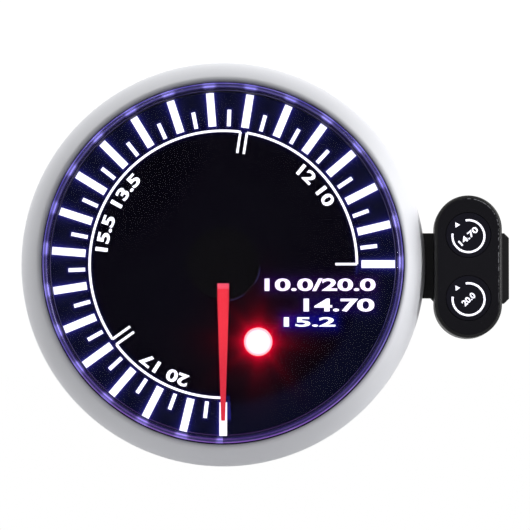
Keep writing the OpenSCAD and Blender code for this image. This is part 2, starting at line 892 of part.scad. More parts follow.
// Flat plate round the coil's axis, with the hole for the core
module coil_plate(w, h, hole_w, hole_h, from, l) {
    translate([0, 0, from]) linear_extrude(height = l) difference() {
        square([w, h], center = true);
        square([hole_w, hole_h], center = true);
    }
}

module coil_bobbins() {
    hole_w = leg_w + 2 * coil_gap;
    hole_h = stator_t + 2 * coil_gap;
    color(dark_plastic) upright() at_coils() union() {
        coil_plate(hole_w + 2 * bobbin_wall, hole_h + 2 * bobbin_wall, hole_w, hole_h, 0, coil_l);
        for (z = [0, coil_l - bobbin_flange_t])
            coil_plate(bobbin_w, bobbin_h, hole_w, hole_h, z, bobbin_flange_t);
    }
}

module coil_windings() {
    inner_w = leg_w + 2 * coil_gap + 2 * bobbin_wall;
    inner_h = stator_t + 2 * coil_gap + 2 * bobbin_wall;
    color("#b5652c") upright() at_coils() coil_plate(
        bobbin_w - 2 * winding_inset, bobbin_h - 2 * winding_inset, inner_w, inner_h,
        bobbin_flange_t, coil_l - 2 * bobbin_flange_t);
}

module case_outline(inset) {
    rounded_outline(
        motor_w - 2 * inset, case_bottom_y + inset, case_top_y - inset, case_corner_r - inset);
}

module case_shell(from, to, plate_from) {
    difference() {
        translate([0, 0, from]) linear_extrude(height = to - from) case_outline(0);
        translate([0, 0, plate_from > from ? from - over : from + plate_t])
            linear_extrude(height = to - from - plate_t + over) case_outline(motor_wall);
    }
}

module motor_case_front() {
    middle_stop_z = output_z + wheel_gap;
    color(dark_plastic) upright() difference() {
        union() {
            case_shell(case_split_z, case_front_z, case_inside_z);
            rod(locating_r, case_front_z - over, board_z);
            translate([0, middle_y, 0]) rod(bearing_r, middle_stop_z, case_front_z - plate_t / 2);
            translate([0, rotor_y, 0]) rod(bearing_r, middle_z + wheel_gap, case_front_z - plate_t / 2);
        }
        rod(shaft_r + running_gap, case_inside_z - over, board_z + over);
        translate([0, middle_y, 0]) rod(journal_r + running_gap, middle_stop_z - over, case_inside_z + blind_depth);
        translate([0, rotor_y, 0]) rod(journal_r + running_gap, middle_z, case_inside_z - bearing_h / 2);
        at_contact_pins() rod(contact_pin_r + running_gap, case_inside_z - over, case_front_z + over);
    }
}

module motor_case_rear() {
    middle_stop_z = middle_back_z - wheel_gap;
    color(dark_plastic) upright() difference() {
        union() {
            case_shell(case_back_z, case_split_z, case_back_z);
            translate([0, middle_y, 0]) rod(bearing_r, case_back_z + plate_t / 2, middle_stop_z);
            translate([0, rotor_y, 0]) rod(bearing_r, case_back_z + plate_t / 2, case_floor_z + bearing_h / 2);
            rod(shaft_bearing_r, case_back_z + plate_t / 2, middle_back_z - blind_depth - wheel_gap);
        }
        translate([0, middle_y, 0]) rod(
            journal_r + running_gap, middle_back_z - 2 * bearing_h - wheel_gap, middle_stop_z + over);
        translate([0, rotor_y, 0]) rod(journal_r + running_gap, case_floor_z - blind_depth, case_floor_z + bearing_h);
        rod(shaft_foot_r + running_gap, case_floor_z + blind_depth - wheel_gap, middle_back_z);
    }
}

module at_contact_pins() {
    for (side = [-1, 1], row = [1, 2])
        translate([side * leg_x, case_bottom_y + motor_wall + row * contact_pin_inset / 2, 0]) children();
}

module motor_pins() {
    color(steel) upright() at_contact_pins() rod(contact_pin_r, stator_z + stator_t + bobbin_h / 2, board_z);
}

module main_board() {
    color(board_green) upright() difference() {
        ring(board_r, locating_r + running_gap, board_back_z, board_t);
        at_contact_pins() rod(contact_pin_r + running_gap, board_back_z - over, board_z + over);
    }
}

module main_board_chips() {
    color(dark_plastic) upright() {
        translate([chip_x, 0, 0]) block(chip_side, chip_side, board_back_z - chip_h, board_back_z);
        translate([0, driver_y, 0]) block(driver_size[0], driver_size[1], board_back_z - driver_size[2], board_back_z);
    }
}

module buzzer() {
    color(black_plastic) upright() translate([-buzzer_x, 0, 0]) difference() {
        rod(buzzer_r, board_back_z - buzzer_h, board_back_z);
        rod(buzzer_hole_r, board_back_z - buzzer_h - over, board_back_z - buzzer_h / 2);
    }
}

module at_spacers() {
    for (x = [-1, 1], y = [-1, 1]) translate([x * spacer_x, y * spacer_y, 0]) children();
}

module board_spacers() {
    color("#c8a24a") upright() at_spacers() difference() {
        rod(spacer_r, interface_z, board_back_z);
        rod(spacer_screw_r, interface_z - over, interface_z + screw_l / 2);
    }
}

module board_screws() {
    color(steel) upright() at_spacers() union() {
        rod(spacer_screw_r, interface_back_z - small_head_h / 2, interface_z + screw_l / 4);
        rod(spacer_r, interface_back_z - small_head_h, interface_back_z);
    }
}

module board_header() {
    split_z = (interface_z + board_back_z) / 2;
    color(black_plastic) upright() translate([0, header_y, 0]) union() {
        block(header_w, header_h, interface_z, split_z);
        block(header_w - header_h / 2, header_h / 2, split_z, board_back_z);
    }
}

module interface_board() {
    color(board_green) upright() difference() {
        rod(interface_r, interface_back_z, interface_z);
        at_spacers() rod(spacer_screw_r + running_gap, interface_back_z - over, interface_z + over);
    }
}

module regulator() {
    color(dark_plastic) upright() translate([-regulator_x, 0, interface_z - over]) union() {
        block(regulator_size[0], regulator_size[1], over, over + regulator_size[2]);
        translate([regulator_size[0] / 2, 0, 0]) block(regulator_size[2], regulator_size[1] / 2, over, 2 * over);
    }
}

module capacitors() {
    color("#9aa0a8") upright() for (side = [-1, 1]) translate([capacitor_x, side * capacitor_step / 2, 0]) union() {
        block(2 * capacitor_r, 2 * capacitor_r, interface_z, interface_z + capacitor_foot);
        rod(capacitor_r, interface_z + capacitor_foot, interface_z + capacitor_h);
    }
}

function hollow_w(pins) = (pins - 1) * pin_pitch + socket_side;
function socket_w(pins) = hollow_w(pins) + 2 * socket_wall;
socket_h = socket_hollow_h + 2 * socket_wall;

module at_socket(row) {
    translate([0, row * socket_step, 0]) children();
}

// Open socket with a key slot in its upper wall
module socket(pins) {
    difference() {
        block(socket_w(pins), socket_h, socket_back_z, interface_back_z);
        block(hollow_w(pins), socket_hollow_h, socket_back_z - over, interface_back_z - socket_floor);
        translate([0, socket_hollow_h / 2, 0])
            block(key_w, 2 * socket_wall + over, socket_back_z - over, socket_back_z + key_depth);
        at_pins(pins) block(pin_side, pin_side, socket_back_z, interface_back_z + over);
    }
}

module at_pins(pins) {
    for (i = [0 : pins - 1]) translate([(i - (pins - 1) / 2) * pin_pitch, 0, 0]) children();
}

module power_socket() {
    color(white_plastic) upright() at_socket(1) socket(power_pins);
}

module sensor_socket() {
    color(white_plastic) upright() at_socket(0) socket(sensor_pins);
}

module pod_socket() {
    color(white_plastic) upright() at_socket(-1) socket(pod_pins);
}

module socket_pins() {
    tip_z = interface_back_z - socket_floor - pin_l;
    counts = [power_pins, sensor_pins, pod_pins];
    color(steel) upright() for (i = [0 : len(counts) - 1])
        at_socket(1 - i) at_pins(counts[i]) block(pin_side, pin_side, tip_z, interface_back_z);
}

module at_pod() {
    translate([pod_x, -pod_drop, 0]) children();
}

module at_buttons() {
    for (side = [-1, 1]) translate([0, side * button_y, 0]) children();
}

// Arm with chamfered end corners and a step beside the bezel
module arm_outline() {
    polygon([
        [bracket_hole_r, arm_h / 2],
        [arm_end_x - arm_chamfer, arm_h / 2],
        [arm_end_x, arm_h / 2 - arm_chamfer],
        [arm_end_x, arm_chamfer - arm_h / 2],
        [arm_end_x - arm_chamfer, -arm_h / 2],
        [arm_step_x, -arm_h / 2],
        [arm_step_x - arm_step, arm_step - arm_h / 2],
        [bracket_hole_r, arm_step - arm_h / 2]
    ]);
}

module at_bracket_screws() {
    for (side = [-1, 1]) translate([0, side * pod_post_y, 0]) children();
}

module pod_bracket() {
    color(black_plastic) upright() difference() {
        union() {
            rod(bracket_ring_r, 0, bracket_t);
            translate([0, -pod_drop, 0]) linear_extrude(height = bracket_t) arm_outline();
        }
        rod(bracket_hole_r, -over, bracket_t + over);
        at_pod() at_bracket_screws() {
            rod(bracket_screw_r + running_gap, -over, bracket_t + over);
            rod(bracket_head_r + running_gap, -over, bracket_head_h);
        }
    }
}

module bracket_screws() {
    color(steel) upright() at_pod() at_bracket_screws() difference() {
        union() {
            rod(bracket_screw_r, 0, pod_shell_z + pod_board_rise - running_gap);
            rod(bracket_head_r, 0, bracket_head_h);
        }
        block(slot_w, 2 * bracket_head_r + over, -over, slot_depth);
    }
}

module pod_back() {
    color(black_plastic) upright() at_pod() difference() {
        union() {
            translate([0, 0, pod_z]) linear_extrude(height = pod_back_t) pod_outline(0);
            at_bracket_screws() rod(pod_post_r, pod_z + pod_back_t / 2, pod_board_z);
        }
        at_bracket_screws() rod(bracket_screw_r, pod_z - over, pod_board_z + over);
        at_bosses() {
            rod(pod_screw_r + running_gap, pod_z - over, pod_shell_z + over);
            rod(pod_head_r + running_gap, pod_z - over, pod_z + pod_head_h);
        }
        translate([0, -grommet_y, 0]) rod(grommet_r, pod_z - over, pod_shell_z + over);
    }
}

module at_bosses() {
    for (side = [-1, 1]) translate([0, side * boss_y, 0]) children();
}

// Solid pod form with a rounded face edge
module pod_form() {
    half = concat(
        [[0, 0], [pod_w / 2, 0]],
        arc_points([pod_w / 2 - pod_edge_r, pod_shell_h - pod_edge_r], pod_edge_r, 0, 90, edge_steps),
        [[0, pod_shell_h]]
    );
    straight = pod_l - pod_w;
    translate([0, 0, pod_shell_z]) {
        for (turn = [0, 180]) rotate([0, 0, turn]) {
            translate([0, straight / 2, 0]) rotate_extrude(angle = 180) polygon(half);
            translate([0, straight / 2, 0]) rotate([90, 0, 0]) linear_extrude(height = straight) polygon(half);
        }
    }
}

module pod_shell() {
    color(black_plastic) upright() at_pod() difference() {
        union() {
            difference() {
                pod_form();
                translate([0, 0, pod_shell_z - over])
                    linear_extrude(height = pod_shell_h - pod_wall + over) pod_outline(pod_wall);
            }
            intersection() {
                at_bosses() rod(boss_r, pod_shell_z, boss_z);
                translate([0, 0, pod_shell_z]) linear_extrude(height = pod_shell_h) pod_outline(pod_wall / 2);
            }
        }
        at_bosses() rod(pod_screw_r, pod_shell_z - over, boss_z - pod_screw_r);
        at_buttons() rod(button_r + button_gap, pod_roof_z - over, pod_face_z + over);
    }
}

module pod_film() {
    color(black_plastic) upright() at_pod() translate([0, 0, pod_face_z]) linear_extrude(height = film_t)
        difference() {
            pod_outline(film_inset);
            at_buttons() circle(r = button_r + button_gap);
        }
}

module pod_screws() {
    color(steel) upright() at_pod() at_bosses() union() {
        rod(pod_screw_r, pod_z, boss_z - 2 * pod_screw_r);
        rod(pod_head_r, pod_z, pod_z + pod_head_h);
    }
}

module pod_grommet() {
    color(dark_plastic) upright() at_pod() translate([0, -grommet_y, 0]) union() {
        ring(grommet_r, grommet_bore_r, pod_z, pod_back_t);
        ring(grommet_flange_r, grommet_bore_r, pod_shell_z, grommet_flange_t);
    }
}

module pod_board() {
    board_l = 2 * (boss_y - boss_r - pod_board_gap);
    color(board_green) upright() at_pod() difference() {
        translate([0, 0, pod_board_z]) linear_extrude(height = pod_board_t) intersection() {
            pod_outline(pod_wall + pod_board_gap);
            square([pod_w, board_l], center = true);
        }
        at_bracket_screws() rod(bracket_screw_r + running_gap, pod_board_z - over, pod_board_top_z + over);
    }
}

module pod_leds() {
    color("#f6f3dc") upright() at_pod() at_buttons() for (side = [-1, 1])
        translate([side * pod_led_x, 0, 0])
            block(pod_led_size[1], pod_led_size[0], pod_board_top_z, pod_board_top_z + pod_led_size[2]);
}

module switch_housings() {
    color("#8f9094") upright() at_pod() at_buttons() difference() {
        block(switch_side, switch_side, pod_board_top_z, switch_top_z);
        rod(plunger_r + running_gap, pod_board_top_z + switch_floor, switch_top_z + over);
    }
}

module plunger(side) {
    upright() at_pod() translate([0, side * button_y, 0])
        rod(plunger_r, switch_top_z - plunger_dip, plunger_top_z);
}

module peak_plunger() {
    color(dark_plastic) plunger(1);
}

module recall_plunger() {
    color(dark_plastic) plunger(-1);
}

module button(side) {
    upright() at_pod() translate([0, side * button_y, 0]) union() {
        rod(button_r, button_flange_z, film_z);
        rod(button_flange_r, button_flange_z, button_flange_z + button_flange_t);
        rod(button_stem_r, plunger_top_z, button_flange_z);
    }
}

module peak_button() {
    color(black_plastic) button(1);
}

module recall_button() {
    color(black_plastic) button(-1);
}

bezel_ring();
lens();
lens_gasket();
body_can();
rear_cover();
rear_screws();
clamp_studs();
dial_retainer();
dial_mask();
dial_diffuser();
light_guide();
light_tray();
peak_window();
peak_led();
peak_led_sleeve();
dial_leds();
needle_leds();
needle_pointer();
needle_hub();
needle_cap();
output_shaft();
output_wheel();
intermediate_wheel();
intermediate_pinion();
rotor_pinion();
rotor_magnet();
stator_core();
coil_bobbins();
coil_windings();
motor_case_front();
motor_case_rear();
motor_pins();
main_board();
main_board_chips();
buzzer();
board_spacers();
board_screws();
board_header();
interface_board();
regulator();
capacitors();
power_socket();
sensor_socket();
pod_socket();
socket_pins();
pod_bracket();
bracket_screws();
pod_back();
pod_shell();
pod_film();
pod_screws();
pod_grommet();
pod_board();
pod_leds();
switch_housings();
peak_plunger();
recall_plunger();
peak_button();
recall_button();
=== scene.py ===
"""Looks of a round dashboard gauge with a lit dial, a bevelled lens and a two-button pod."""

from __future__ import annotations

import json
import logging
import math
from dataclasses import dataclass, field
from enum import Enum
from typing import Any, Iterable, Mapping, Protocol, Sequence, Union

import bmesh
import bpy
from mathutils import Matrix, Vector

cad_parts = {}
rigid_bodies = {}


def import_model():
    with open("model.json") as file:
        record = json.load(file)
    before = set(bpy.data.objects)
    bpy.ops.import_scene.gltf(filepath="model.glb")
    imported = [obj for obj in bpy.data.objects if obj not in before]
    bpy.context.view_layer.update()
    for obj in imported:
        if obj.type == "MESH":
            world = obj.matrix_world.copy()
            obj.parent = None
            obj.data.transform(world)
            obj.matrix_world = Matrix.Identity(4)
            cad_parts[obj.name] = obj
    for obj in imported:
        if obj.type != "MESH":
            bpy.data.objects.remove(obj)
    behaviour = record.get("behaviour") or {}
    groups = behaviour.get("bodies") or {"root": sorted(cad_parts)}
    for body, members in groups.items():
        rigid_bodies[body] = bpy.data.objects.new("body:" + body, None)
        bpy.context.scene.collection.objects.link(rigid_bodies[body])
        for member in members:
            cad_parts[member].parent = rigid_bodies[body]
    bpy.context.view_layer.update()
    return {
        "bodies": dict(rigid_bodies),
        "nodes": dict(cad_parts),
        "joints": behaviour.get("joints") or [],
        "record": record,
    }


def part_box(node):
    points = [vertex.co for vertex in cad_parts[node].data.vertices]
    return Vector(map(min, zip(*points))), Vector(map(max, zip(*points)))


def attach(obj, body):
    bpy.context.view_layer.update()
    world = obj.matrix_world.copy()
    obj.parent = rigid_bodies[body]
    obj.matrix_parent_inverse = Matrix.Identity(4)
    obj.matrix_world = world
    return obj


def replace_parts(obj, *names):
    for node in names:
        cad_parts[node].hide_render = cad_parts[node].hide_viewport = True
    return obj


LOG = logging.getLogger("gauge")
MM = 0.001
FULL_TURN = 2 * math.pi
SAME_POINT = 1e-7

Colour = tuple[float, float, float]
Point = tuple[float, float]
Place = tuple[float, float, float]
Span = tuple[float, float]
Band = tuple[float, float, float]


def shown(red: float, green: float, blue: float) -> Colour:
    """Turns a colour as a screen shows it into the shader's own numbers.

    Args:
        red: Red from 0 to 255.
        green: Green from 0 to 255.
        blue: Blue from 0 to 255.

    Returns:
        The same colour in linear light.
    """
    top, knee, slope, offset, power = 255, 0.04045, 12.92, 0.055, 2.4

    def linear(level: float) -> float:
        """Undoes the screen's curve for one channel."""
        share = level / top
        return share / slope if share <= knee else ((share + offset) / (1 + offset)) ** power

    return linear(red), linear(green), linear(blue)


def tinted(colour: Colour, share: float) -> Colour:
    """The same colour, darker or lighter by a factor."""
    return tuple(min(1.0, level * share) for level in colour)


def placed(name: str, data: Any) -> bpy.types.Object:
    """Adds an object to the scene.

    Args:
        name: Name of the object.
        data: Its mesh, curve, lamp or camera.

    Returns:
        The object.
    """
    made = bpy.data.objects.new(name, data)
    bpy.context.scene.collection.objects.link(made)
    return made


def aimed(made: bpy.types.Object, place: Vector, aim: Vector) -> None:
    """Puts a lamp or a camera at a place and points it at another."""
    made.location = place
    made.rotation_euler = (aim - place).to_track_quat("-Z", "Y").to_euler()


def only(found: Sequence[Any], kind: type) -> list[Any]:
    """Elements of one kind among those that an operator made."""
    return [item for item in found if isinstance(item, kind)]


BLACK: Colour = (0.0, 0.0, 0.0)
WHITE: Colour = (1.0, 1.0, 1.0)
PALE: Colour = shown(240, 240, 248)
COOL_LIGHT: Colour = shown(240, 240, 255)


class Value:
    """A number in a shader, on which Python's operators add Math nodes."""

    def __init__(self, graph: Graph, socket: bpy.types.NodeSocket) -> None:
        """Wraps a socket of the graph."""
        self.graph = graph
        self.socket = socket

    def _math(self, operation: str, *others: Number, swapped: bool = False) -> Value:
        """Adds one Math node.

        Args:
            operation: The node's operation.
            others: The operands after this one.
            swapped: Whether the operands come in reverse order.

        Returns:
            The node's result.
        """
        operands: list[Number] = [self, *others]
        if swapped:
            operands.reverse()
        made = self.graph.node("ShaderNodeMath", {"operation": operation}, dict(enumerate(operands)))
        return Value(self.graph, made.outputs[0])

    def __add__(self, other: Number) -> Value:
        """Sum."""
        return self._math("ADD", other)

    def __radd__(self, other: Number) -> Value:
        """Sum, with the plain number first."""
        return self._math("ADD", other)

    def __sub__(self, other: Number) -> Value:
        """Difference."""
        return self._math("SUBTRACT", other)

    def __rsub__(self, other: Number) -> Value:
        """Difference, with the plain number first."""
        return self._math("SUBTRACT", other, swapped=True)

    def __mul__(self, other: Number) -> Value:
        """Product."""
        return self._math("MULTIPLY", other)

    def __rmul__(self, other: Number) -> Value:
        """Product, with the plain number first."""
        return self._math("MULTIPLY", other)

    def __truediv__(self, other: Number) -> Value:
        """Quotient."""
        return self._math("DIVIDE", other)

    def __rtruediv__(self, other: Number) -> Value:
        """Quotient, with the plain number first."""
        return self._math("DIVIDE", other, swapped=True)

    def __neg__(self) -> Value:
        """The same number with the other sign."""
        return self * -1

    def __abs__(self) -> Value:
        """Size without the sign."""
        return self._math("ABSOLUTE")

    def power(self, exponent: Number) -> Value:
        """This number to a power."""
        return self._math("POWER", exponent)

    def root(self) -> Value:
        """Square root."""
        return self._math("SQRT")

    def cosine(self) -> Value:
        """Cosine of an angle in radians."""
        return self._math("COSINE")

    def decay(self, length: float) -> Value:
        """What is left of 1, which falls by a factor of e over each length."""
        return (self * (-1 / length))._math("EXPONENT")

    def fraction(self) -> Value:
        """What is left over a whole number."""
        return self._math("FRACT")

    def most(self, other: Number) -> Value:
        """The larger of two numbers."""
        return self._math("MAXIMUM", other)

    def hypotenuse(self, other: Value) -> Value:
        """Distance that this number and one at right angles to it make."""
        return (self * self + other * other).root()

    def angle_with(self, other: Number) -> Value:
        """Angle whose tangent is this number over the other."""
        return self._math("ARCTAN2", other)

    def rise(self, low: float, high: float) -> Value:
        """Goes smoothly from 0 at one value to 1 at another.

        Args:
            low: Where it is still 0.
            high: Where it has reached 1.

        Returns:
            The eased step.
        """
        made = self.graph.node(
            "ShaderNodeMapRange", {"interpolation_type": "SMOOTHSTEP"}, {0: self, 1: low, 2: high}
        )
        return Value(self.graph, made.outputs[0])

    def spread(self, low: float, high: float) -> Value:
        """Stretches a number from 0 to 1, so that it goes from one value to another."""
        return low + (high - low) * self

    def bump(self, low: float, high: float, edge: float) -> Value:
        """1 between two values and 0 outside them, with soft edges of one width."""
        return self.rise(low - edge, low) * (1 - self.rise(high, high + edge))


Number = Union[Value, float]
Paint = Union[bpy.types.NodeSocket, Colour]


class Graph:
    """Node tree of one material or of the world."""

    def __init__(self, name: str, world: bool = False) -> None:
        """Starts an empty tree.

        Args:
            name: Name of the material or the world.
            world: Whether the tree is a world's.
        """
        self.owner = (bpy.data.worlds if world else bpy.data.materials).new(name)
        self.owner.use_nodes = True
        self.tree = self.owner.node_tree
        self.tree.nodes.clear()
        self.place = self.node("ShaderNodeTexCoord").outputs["Generated" if world else "Object"]
        split = self.node("ShaderNodeSeparateXYZ", None, {0: self.place})
        self.x, self.y, self.z = (Value(self, socket) for socket in split.outputs)

    def node(
        self,
        kind: str,
        settings: Mapping[str, Any] | None = None,
        inputs: Mapping[int | str, Any] | None = None,
    ) -> bpy.types.Node:
        """Adds a node.

        Args:
            kind: Blender's name of the node's type.
            settings: Attributes that are set first.
            inputs: Values or links of the sockets.

        Returns:
            The new node.
        """
        made = self.tree.nodes.new(kind)
        for name, value in (settings or {}).items():
            setattr(made, name, value)
        for key, value in (inputs or {}).items():
            self.plug(made.inputs[key], value)
        return made

    def plug(self, target: bpy.types.NodeSocket, value: Any) -> None:
        """Links a socket, or writes its value.

        Args:
            target: The socket that is fed.
            value: A number, a colour, a socket or a Value.
        """
        if isinstance(value, Value):
            self.tree.links.new(target, value.socket)
        elif isinstance(value, bpy.types.NodeSocket):
            self.tree.links.new(target, value)
        elif target.type == "RGBA":
            target.default_value = (*value, 1.0)
        else:
            target.default_value = value

    def radius(self, centre: Point = (0.0, 0.0)) -> Value:
        """Distance in metres from an axis along Y, which is given by its x and z."""
        return (self.x - centre[0]).hypotenuse(self.z - centre[1])

    def noise(self, grain: float, detail: float = 2.0, stretch: Point | None = None) -> Value:
        """Soft random pattern.

        Args:
            grain: Size of its grains in metres.
            detail: Number of finer layers.
            stretch: How much longer the grains are along Y and along Z, if they aren't round.

        Returns:
            The pattern, from 0 to 1.
        """
        place: Any = self.place
        if stretch:
            scale = (1.0, 1 / stretch[0], 1 / stretch[1])
            place = self.node("ShaderNodeMapping", None, {"Vector": place, "Scale": scale}).outputs[0]
        made = self.node(
            "ShaderNodeTexNoise", None, {"Vector": place, "Scale": 1 / grain, "Detail": detail}
        )
        return Value(self, made.outputs[0])

    def cells(self, grain: float) -> Value:
        """Distance to the nearest of many scattered points, for specks and pits."""
        made = self.node("ShaderNodeTexVoronoi", None, {"Vector": self.place, "Scale": 1 / grain})
        return Value(self, made.outputs[0])

    def mix(self, share: Number, first: Paint, second: Paint, blend: str = "MIX") -> Paint:
        """Blends two colours.

        Args:
            share: How much of the second colour shows.
            first: Colour at 0.
            second: Colour at 1.
            blend: The node's way of blending.

        Returns:
            The blended colour.
        """
        settings = {"data_type": "RGBA", "blend_type": blend}
        return self.node("ShaderNodeMix", settings, {0: share, 6: first, 7: second}).outputs[2]

    def glow(self, lights: Iterable[tuple[Number, Paint]], under: Paint = BLACK) -> Paint:
        """Adds lights on top of each other.

        Args:
            lights: Strength and colour of each light.
            under: Light that is there already.

        Returns:
            The sum.
        """
        for share, colour in lights:
            under = self.mix(share, under, colour, "ADD")
        return under

    def relief(self, height: Value, depth: float) -> Paint:
        """Normal of a relief of a depth in metres, with a height from 0 to 1."""
        made = self.node("ShaderNodeBump", None, {"Strength": 1.0, "Distance": depth, "Height": height})
        return made.outputs[0]

    def close(self, sockets: Mapping[str, Any]) -> bpy.types.Material:
        """Ends the tree with its surface.

        Args:
            sockets: Inputs of the surface's shader by name.

        Returns:
            The finished material.
        """
        shader = self.node("ShaderNodeBsdfPrincipled", None, sockets)
        self.node("ShaderNodeOutputMaterial", None, {"Surface": shader.outputs[0]})
        return self.owner


class Finish(Protocol):
    """What the bench needs of a finish.

    Attributes:
        name: Name of its material.
    """

    name: str

    def material(self) -> bpy.types.Material:
        """Builds the material."""


@dataclass(frozen=True)
class Moulded:
    """Moulded plastic or rubber with a fine spark-eroded grain.

    Attributes:
        name: Name of the material.
        colour: Its colour.
        roughness: Its middle roughness.
        grain: Size of the grain in metres.
        depth: Depth of the grain in metres.
        cloud: How far the colour drifts.
        specular: Strength of its gloss.
        cloud_size: Size of the drifts in metres.
        uneven: How far the roughness drifts.
    """

    name: str
    colour: Colour
    roughness: float = 0.5
    grain: float = 0.25 * MM
    depth: float = 0.006 * MM
    cloud: float = 0.12
    specular: float = 0.5
    cloud_size: float = 6 * MM
    uneven: float = 0.15

    def material(self) -> bpy.types.Material:
        """Builds the material.

        Returns:
            The finished material.
        """
        graph = Graph(self.name)
        cloud = graph.noise(self.cloud_size)
        darker, lighter = tinted(self.colour, 1 - self.cloud), tinted(self.colour, 1 + self.cloud)
        return graph.close({
            "Base Color": graph.mix(cloud, darker, lighter),
            "Roughness": self.roughness * cloud.spread(1 - self.uneven, 1 + self.uneven),
            "Normal": graph.relief(graph.noise(self.grain, detail=3.0), self.depth),
            "Specular IOR Level": self.specular,
        })


class Lay(Enum):
    """How a metal's fine lines run, as the grain, detail and stretch of their pattern."""

    ROUND = (0.12 * MM, 2.0, (0.4, 1.0))
    DEPTH = (0.15 * MM, 2.0, (30.0, 1.0))
    EVEN = (0.2 * MM, 4.0, None)


@dataclass(frozen=True)
class Metal:
    """Bare or plated metal with the marks of how it was worked.

    Attributes:
        name: Name of the material.
        colour: Its colour.
        roughness: Its middle roughness.
        lay: How its fine lines run.
        depth: Depth of the lines in metres.
        uneven: How far the roughness differs along the lines.
        stain: Size of the dull stains in metres.
        stain_from: Levels of the stains' pattern between which one sets in.
        stain_share: How much of a stain's colour shows.
        stain_rough: How much rougher a stain is.
        dull: Brightness of a stain.
    """

    name: str
    colour: Colour
    roughness: float = 0.3
    lay: Lay = Lay.EVEN
    depth: float = 0.004 * MM
    uneven: float = 0.3
    stain: float = 3 * MM
    stain_from: Span = (0.35, 0.75)
    stain_share: float = 0.5
    stain_rough: float = 0.15
    dull: float = 0.72

    def material(self) -> bpy.types.Material:
        """Builds the material.

        Returns:
            The finished material.
        """
        graph = Graph(self.name)
        lines = graph.noise(*self.lay.value)
        stain = graph.noise(self.stain, detail=3.0)
        stained = self.stain_share * stain.rise(*self.stain_from)
        rough = self.roughness * lines.spread(1 - self.uneven, 1 + self.uneven)
        return graph.close({
            "Base Color": graph.mix(stained, self.colour, tinted(self.colour, self.dull)),
            "Metallic": 1.0,
            "Roughness": rough + self.stain_rough * stain,
            "Normal": graph.relief(lines, self.depth),
        })


@dataclass(frozen=True)
class Board:
    """Circuit board with lacquered tracks and bare pads.

    Attributes:
        name: Name of the material.
        lacquer: Colour of the lacquer.
        tin: Colour of the pads.
        pitch: Distance between tracks in metres.
        track: Share of the pitch at which a track starts and ends, and its softness.
        cross: Share of every third pitch at which a gap starts and ends, and its softness.
        bend: Size of the tracks' bends in metres.
        pad: Distance between pads in metres.
        height: Height of tracks and pads in metres.
        roughness: Roughness beside the tracks and on them.
        raised: Brightness of the lacquer over a track.
    """

    name: str = "board_lacquer"
    lacquer: Colour = shown(28, 92, 52)
    tin: Colour = shown(206, 200, 182)
    pitch: float = 1.27 * MM
    track: Band = (0.3, 0.7, 0.08)
    cross: Band = (0.0, 0.25, 0.05)
    bend: float = 7 * MM
    pad: float = 2.4 * MM
    height: float = 0.02 * MM
    roughness: Span = (0.35, 0.25)
    raised: float = 1.5

    def material(self) -> bpy.types.Material:
        """Builds the material.

        Returns:
            The finished material.
        """
        graph = Graph(self.name)
        bend = graph.noise(self.bend) * 5 * self.pitch
        along = ((graph.x + bend) / self.pitch).fraction()
        across = ((graph.z + bend) / (3 * self.pitch)).fraction()
        track = along.bump(*self.track) * (1 - across.bump(*self.cross))
        pads = graph.cells(self.pad).rise(0.24, 0.18)
        lacquer = graph.mix(track, self.lacquer, tinted(self.lacquer, self.raised))
        return graph.close({
            "Base Color": graph.mix(pads, lacquer, self.tin),
            "Metallic": pads,
            "Roughness": track.spread(*self.roughness),
            "Normal": graph.relief(track + pads, self.height),
        })


@dataclass(frozen=True)
class Winding:
    """Turns of enamelled copper wire, with painted shade in the grooves between them.

    Attributes:
        name: Name of the material.
        wire: Thickness of the wire in metres.
        depth: Depth of the grooves between turns in metres.
        wander: Size of the places that differ in colour.
        roughness: Roughness in the grooves and on top of the wire.
        groove_shade: Colour of the painted shade in the grooves, darker than the copper.
        crown: Colour on top of the wire.
    """

    name: str = "copper_wire"
    wire: float = 0.12 * MM
    depth: float = 0.03 * MM
    wander: float = 0.6 * MM
    roughness: Span = (0.42, 0.27)
    groove_shade: Colour = shown(92, 38, 14)
    crown: Colour = shown(214, 118, 58)

    def material(self) -> bpy.types.Material:
        """Builds the material.

        Returns:
            The finished material.
        """
        graph = Graph(self.name)
        turn = (graph.z / self.wire).fraction() - 0.5
        crown = 1 - 4 * turn * turn
        return graph.close({
            # Painted shade: the grooves between turns get the darker colour, and random patches on top get
            # it as well.
            "Base Color": graph.mix(crown * graph.noise(self.wander), self.groove_shade, self.crown),
            "Metallic": 0.9,
            "Roughness": crown.spread(*self.roughness),
            "Normal": graph.relief(crown, self.depth),
        })


@dataclass(frozen=True)
class Lit:
    """Translucent plastic with a lamp behind it.

    Attributes:
        name: Name of the material.
        colour: Colour of the plastic.
        light: Colour of its light.
        strength: Strength of its light.
        mottle: How far the light varies.
        patch: Size of these variations in metres.
        roughness: Lowest and highest roughness.
        grain: Size of the surface's grain in metres.
        depth: Depth of the grain in metres.
    """

    name: str
    colour: Colour
    light: Colour
    strength: float = 1.0
    mottle: float = 0.06
    patch: float = 3 * MM
    roughness: Span = (0.45, 0.65)
    grain: float = 0.2 * MM
    depth: float = 0.003 * MM

    def material(self) -> bpy.types.Material:
        """Builds the material.

        Returns:
            The finished material.
        """
        graph = Graph(self.name)
        drift = graph.noise(self.patch)
        return graph.close({
            "Base Color": self.colour,
            "Roughness": drift.spread(*self.roughness),
            "Emission Color": graph.mix(drift, tinted(self.light, 1 - self.mottle), self.light),
            "Emission Strength": self.strength,
            "Normal": graph.relief(graph.noise(self.grain), self.depth),
        })


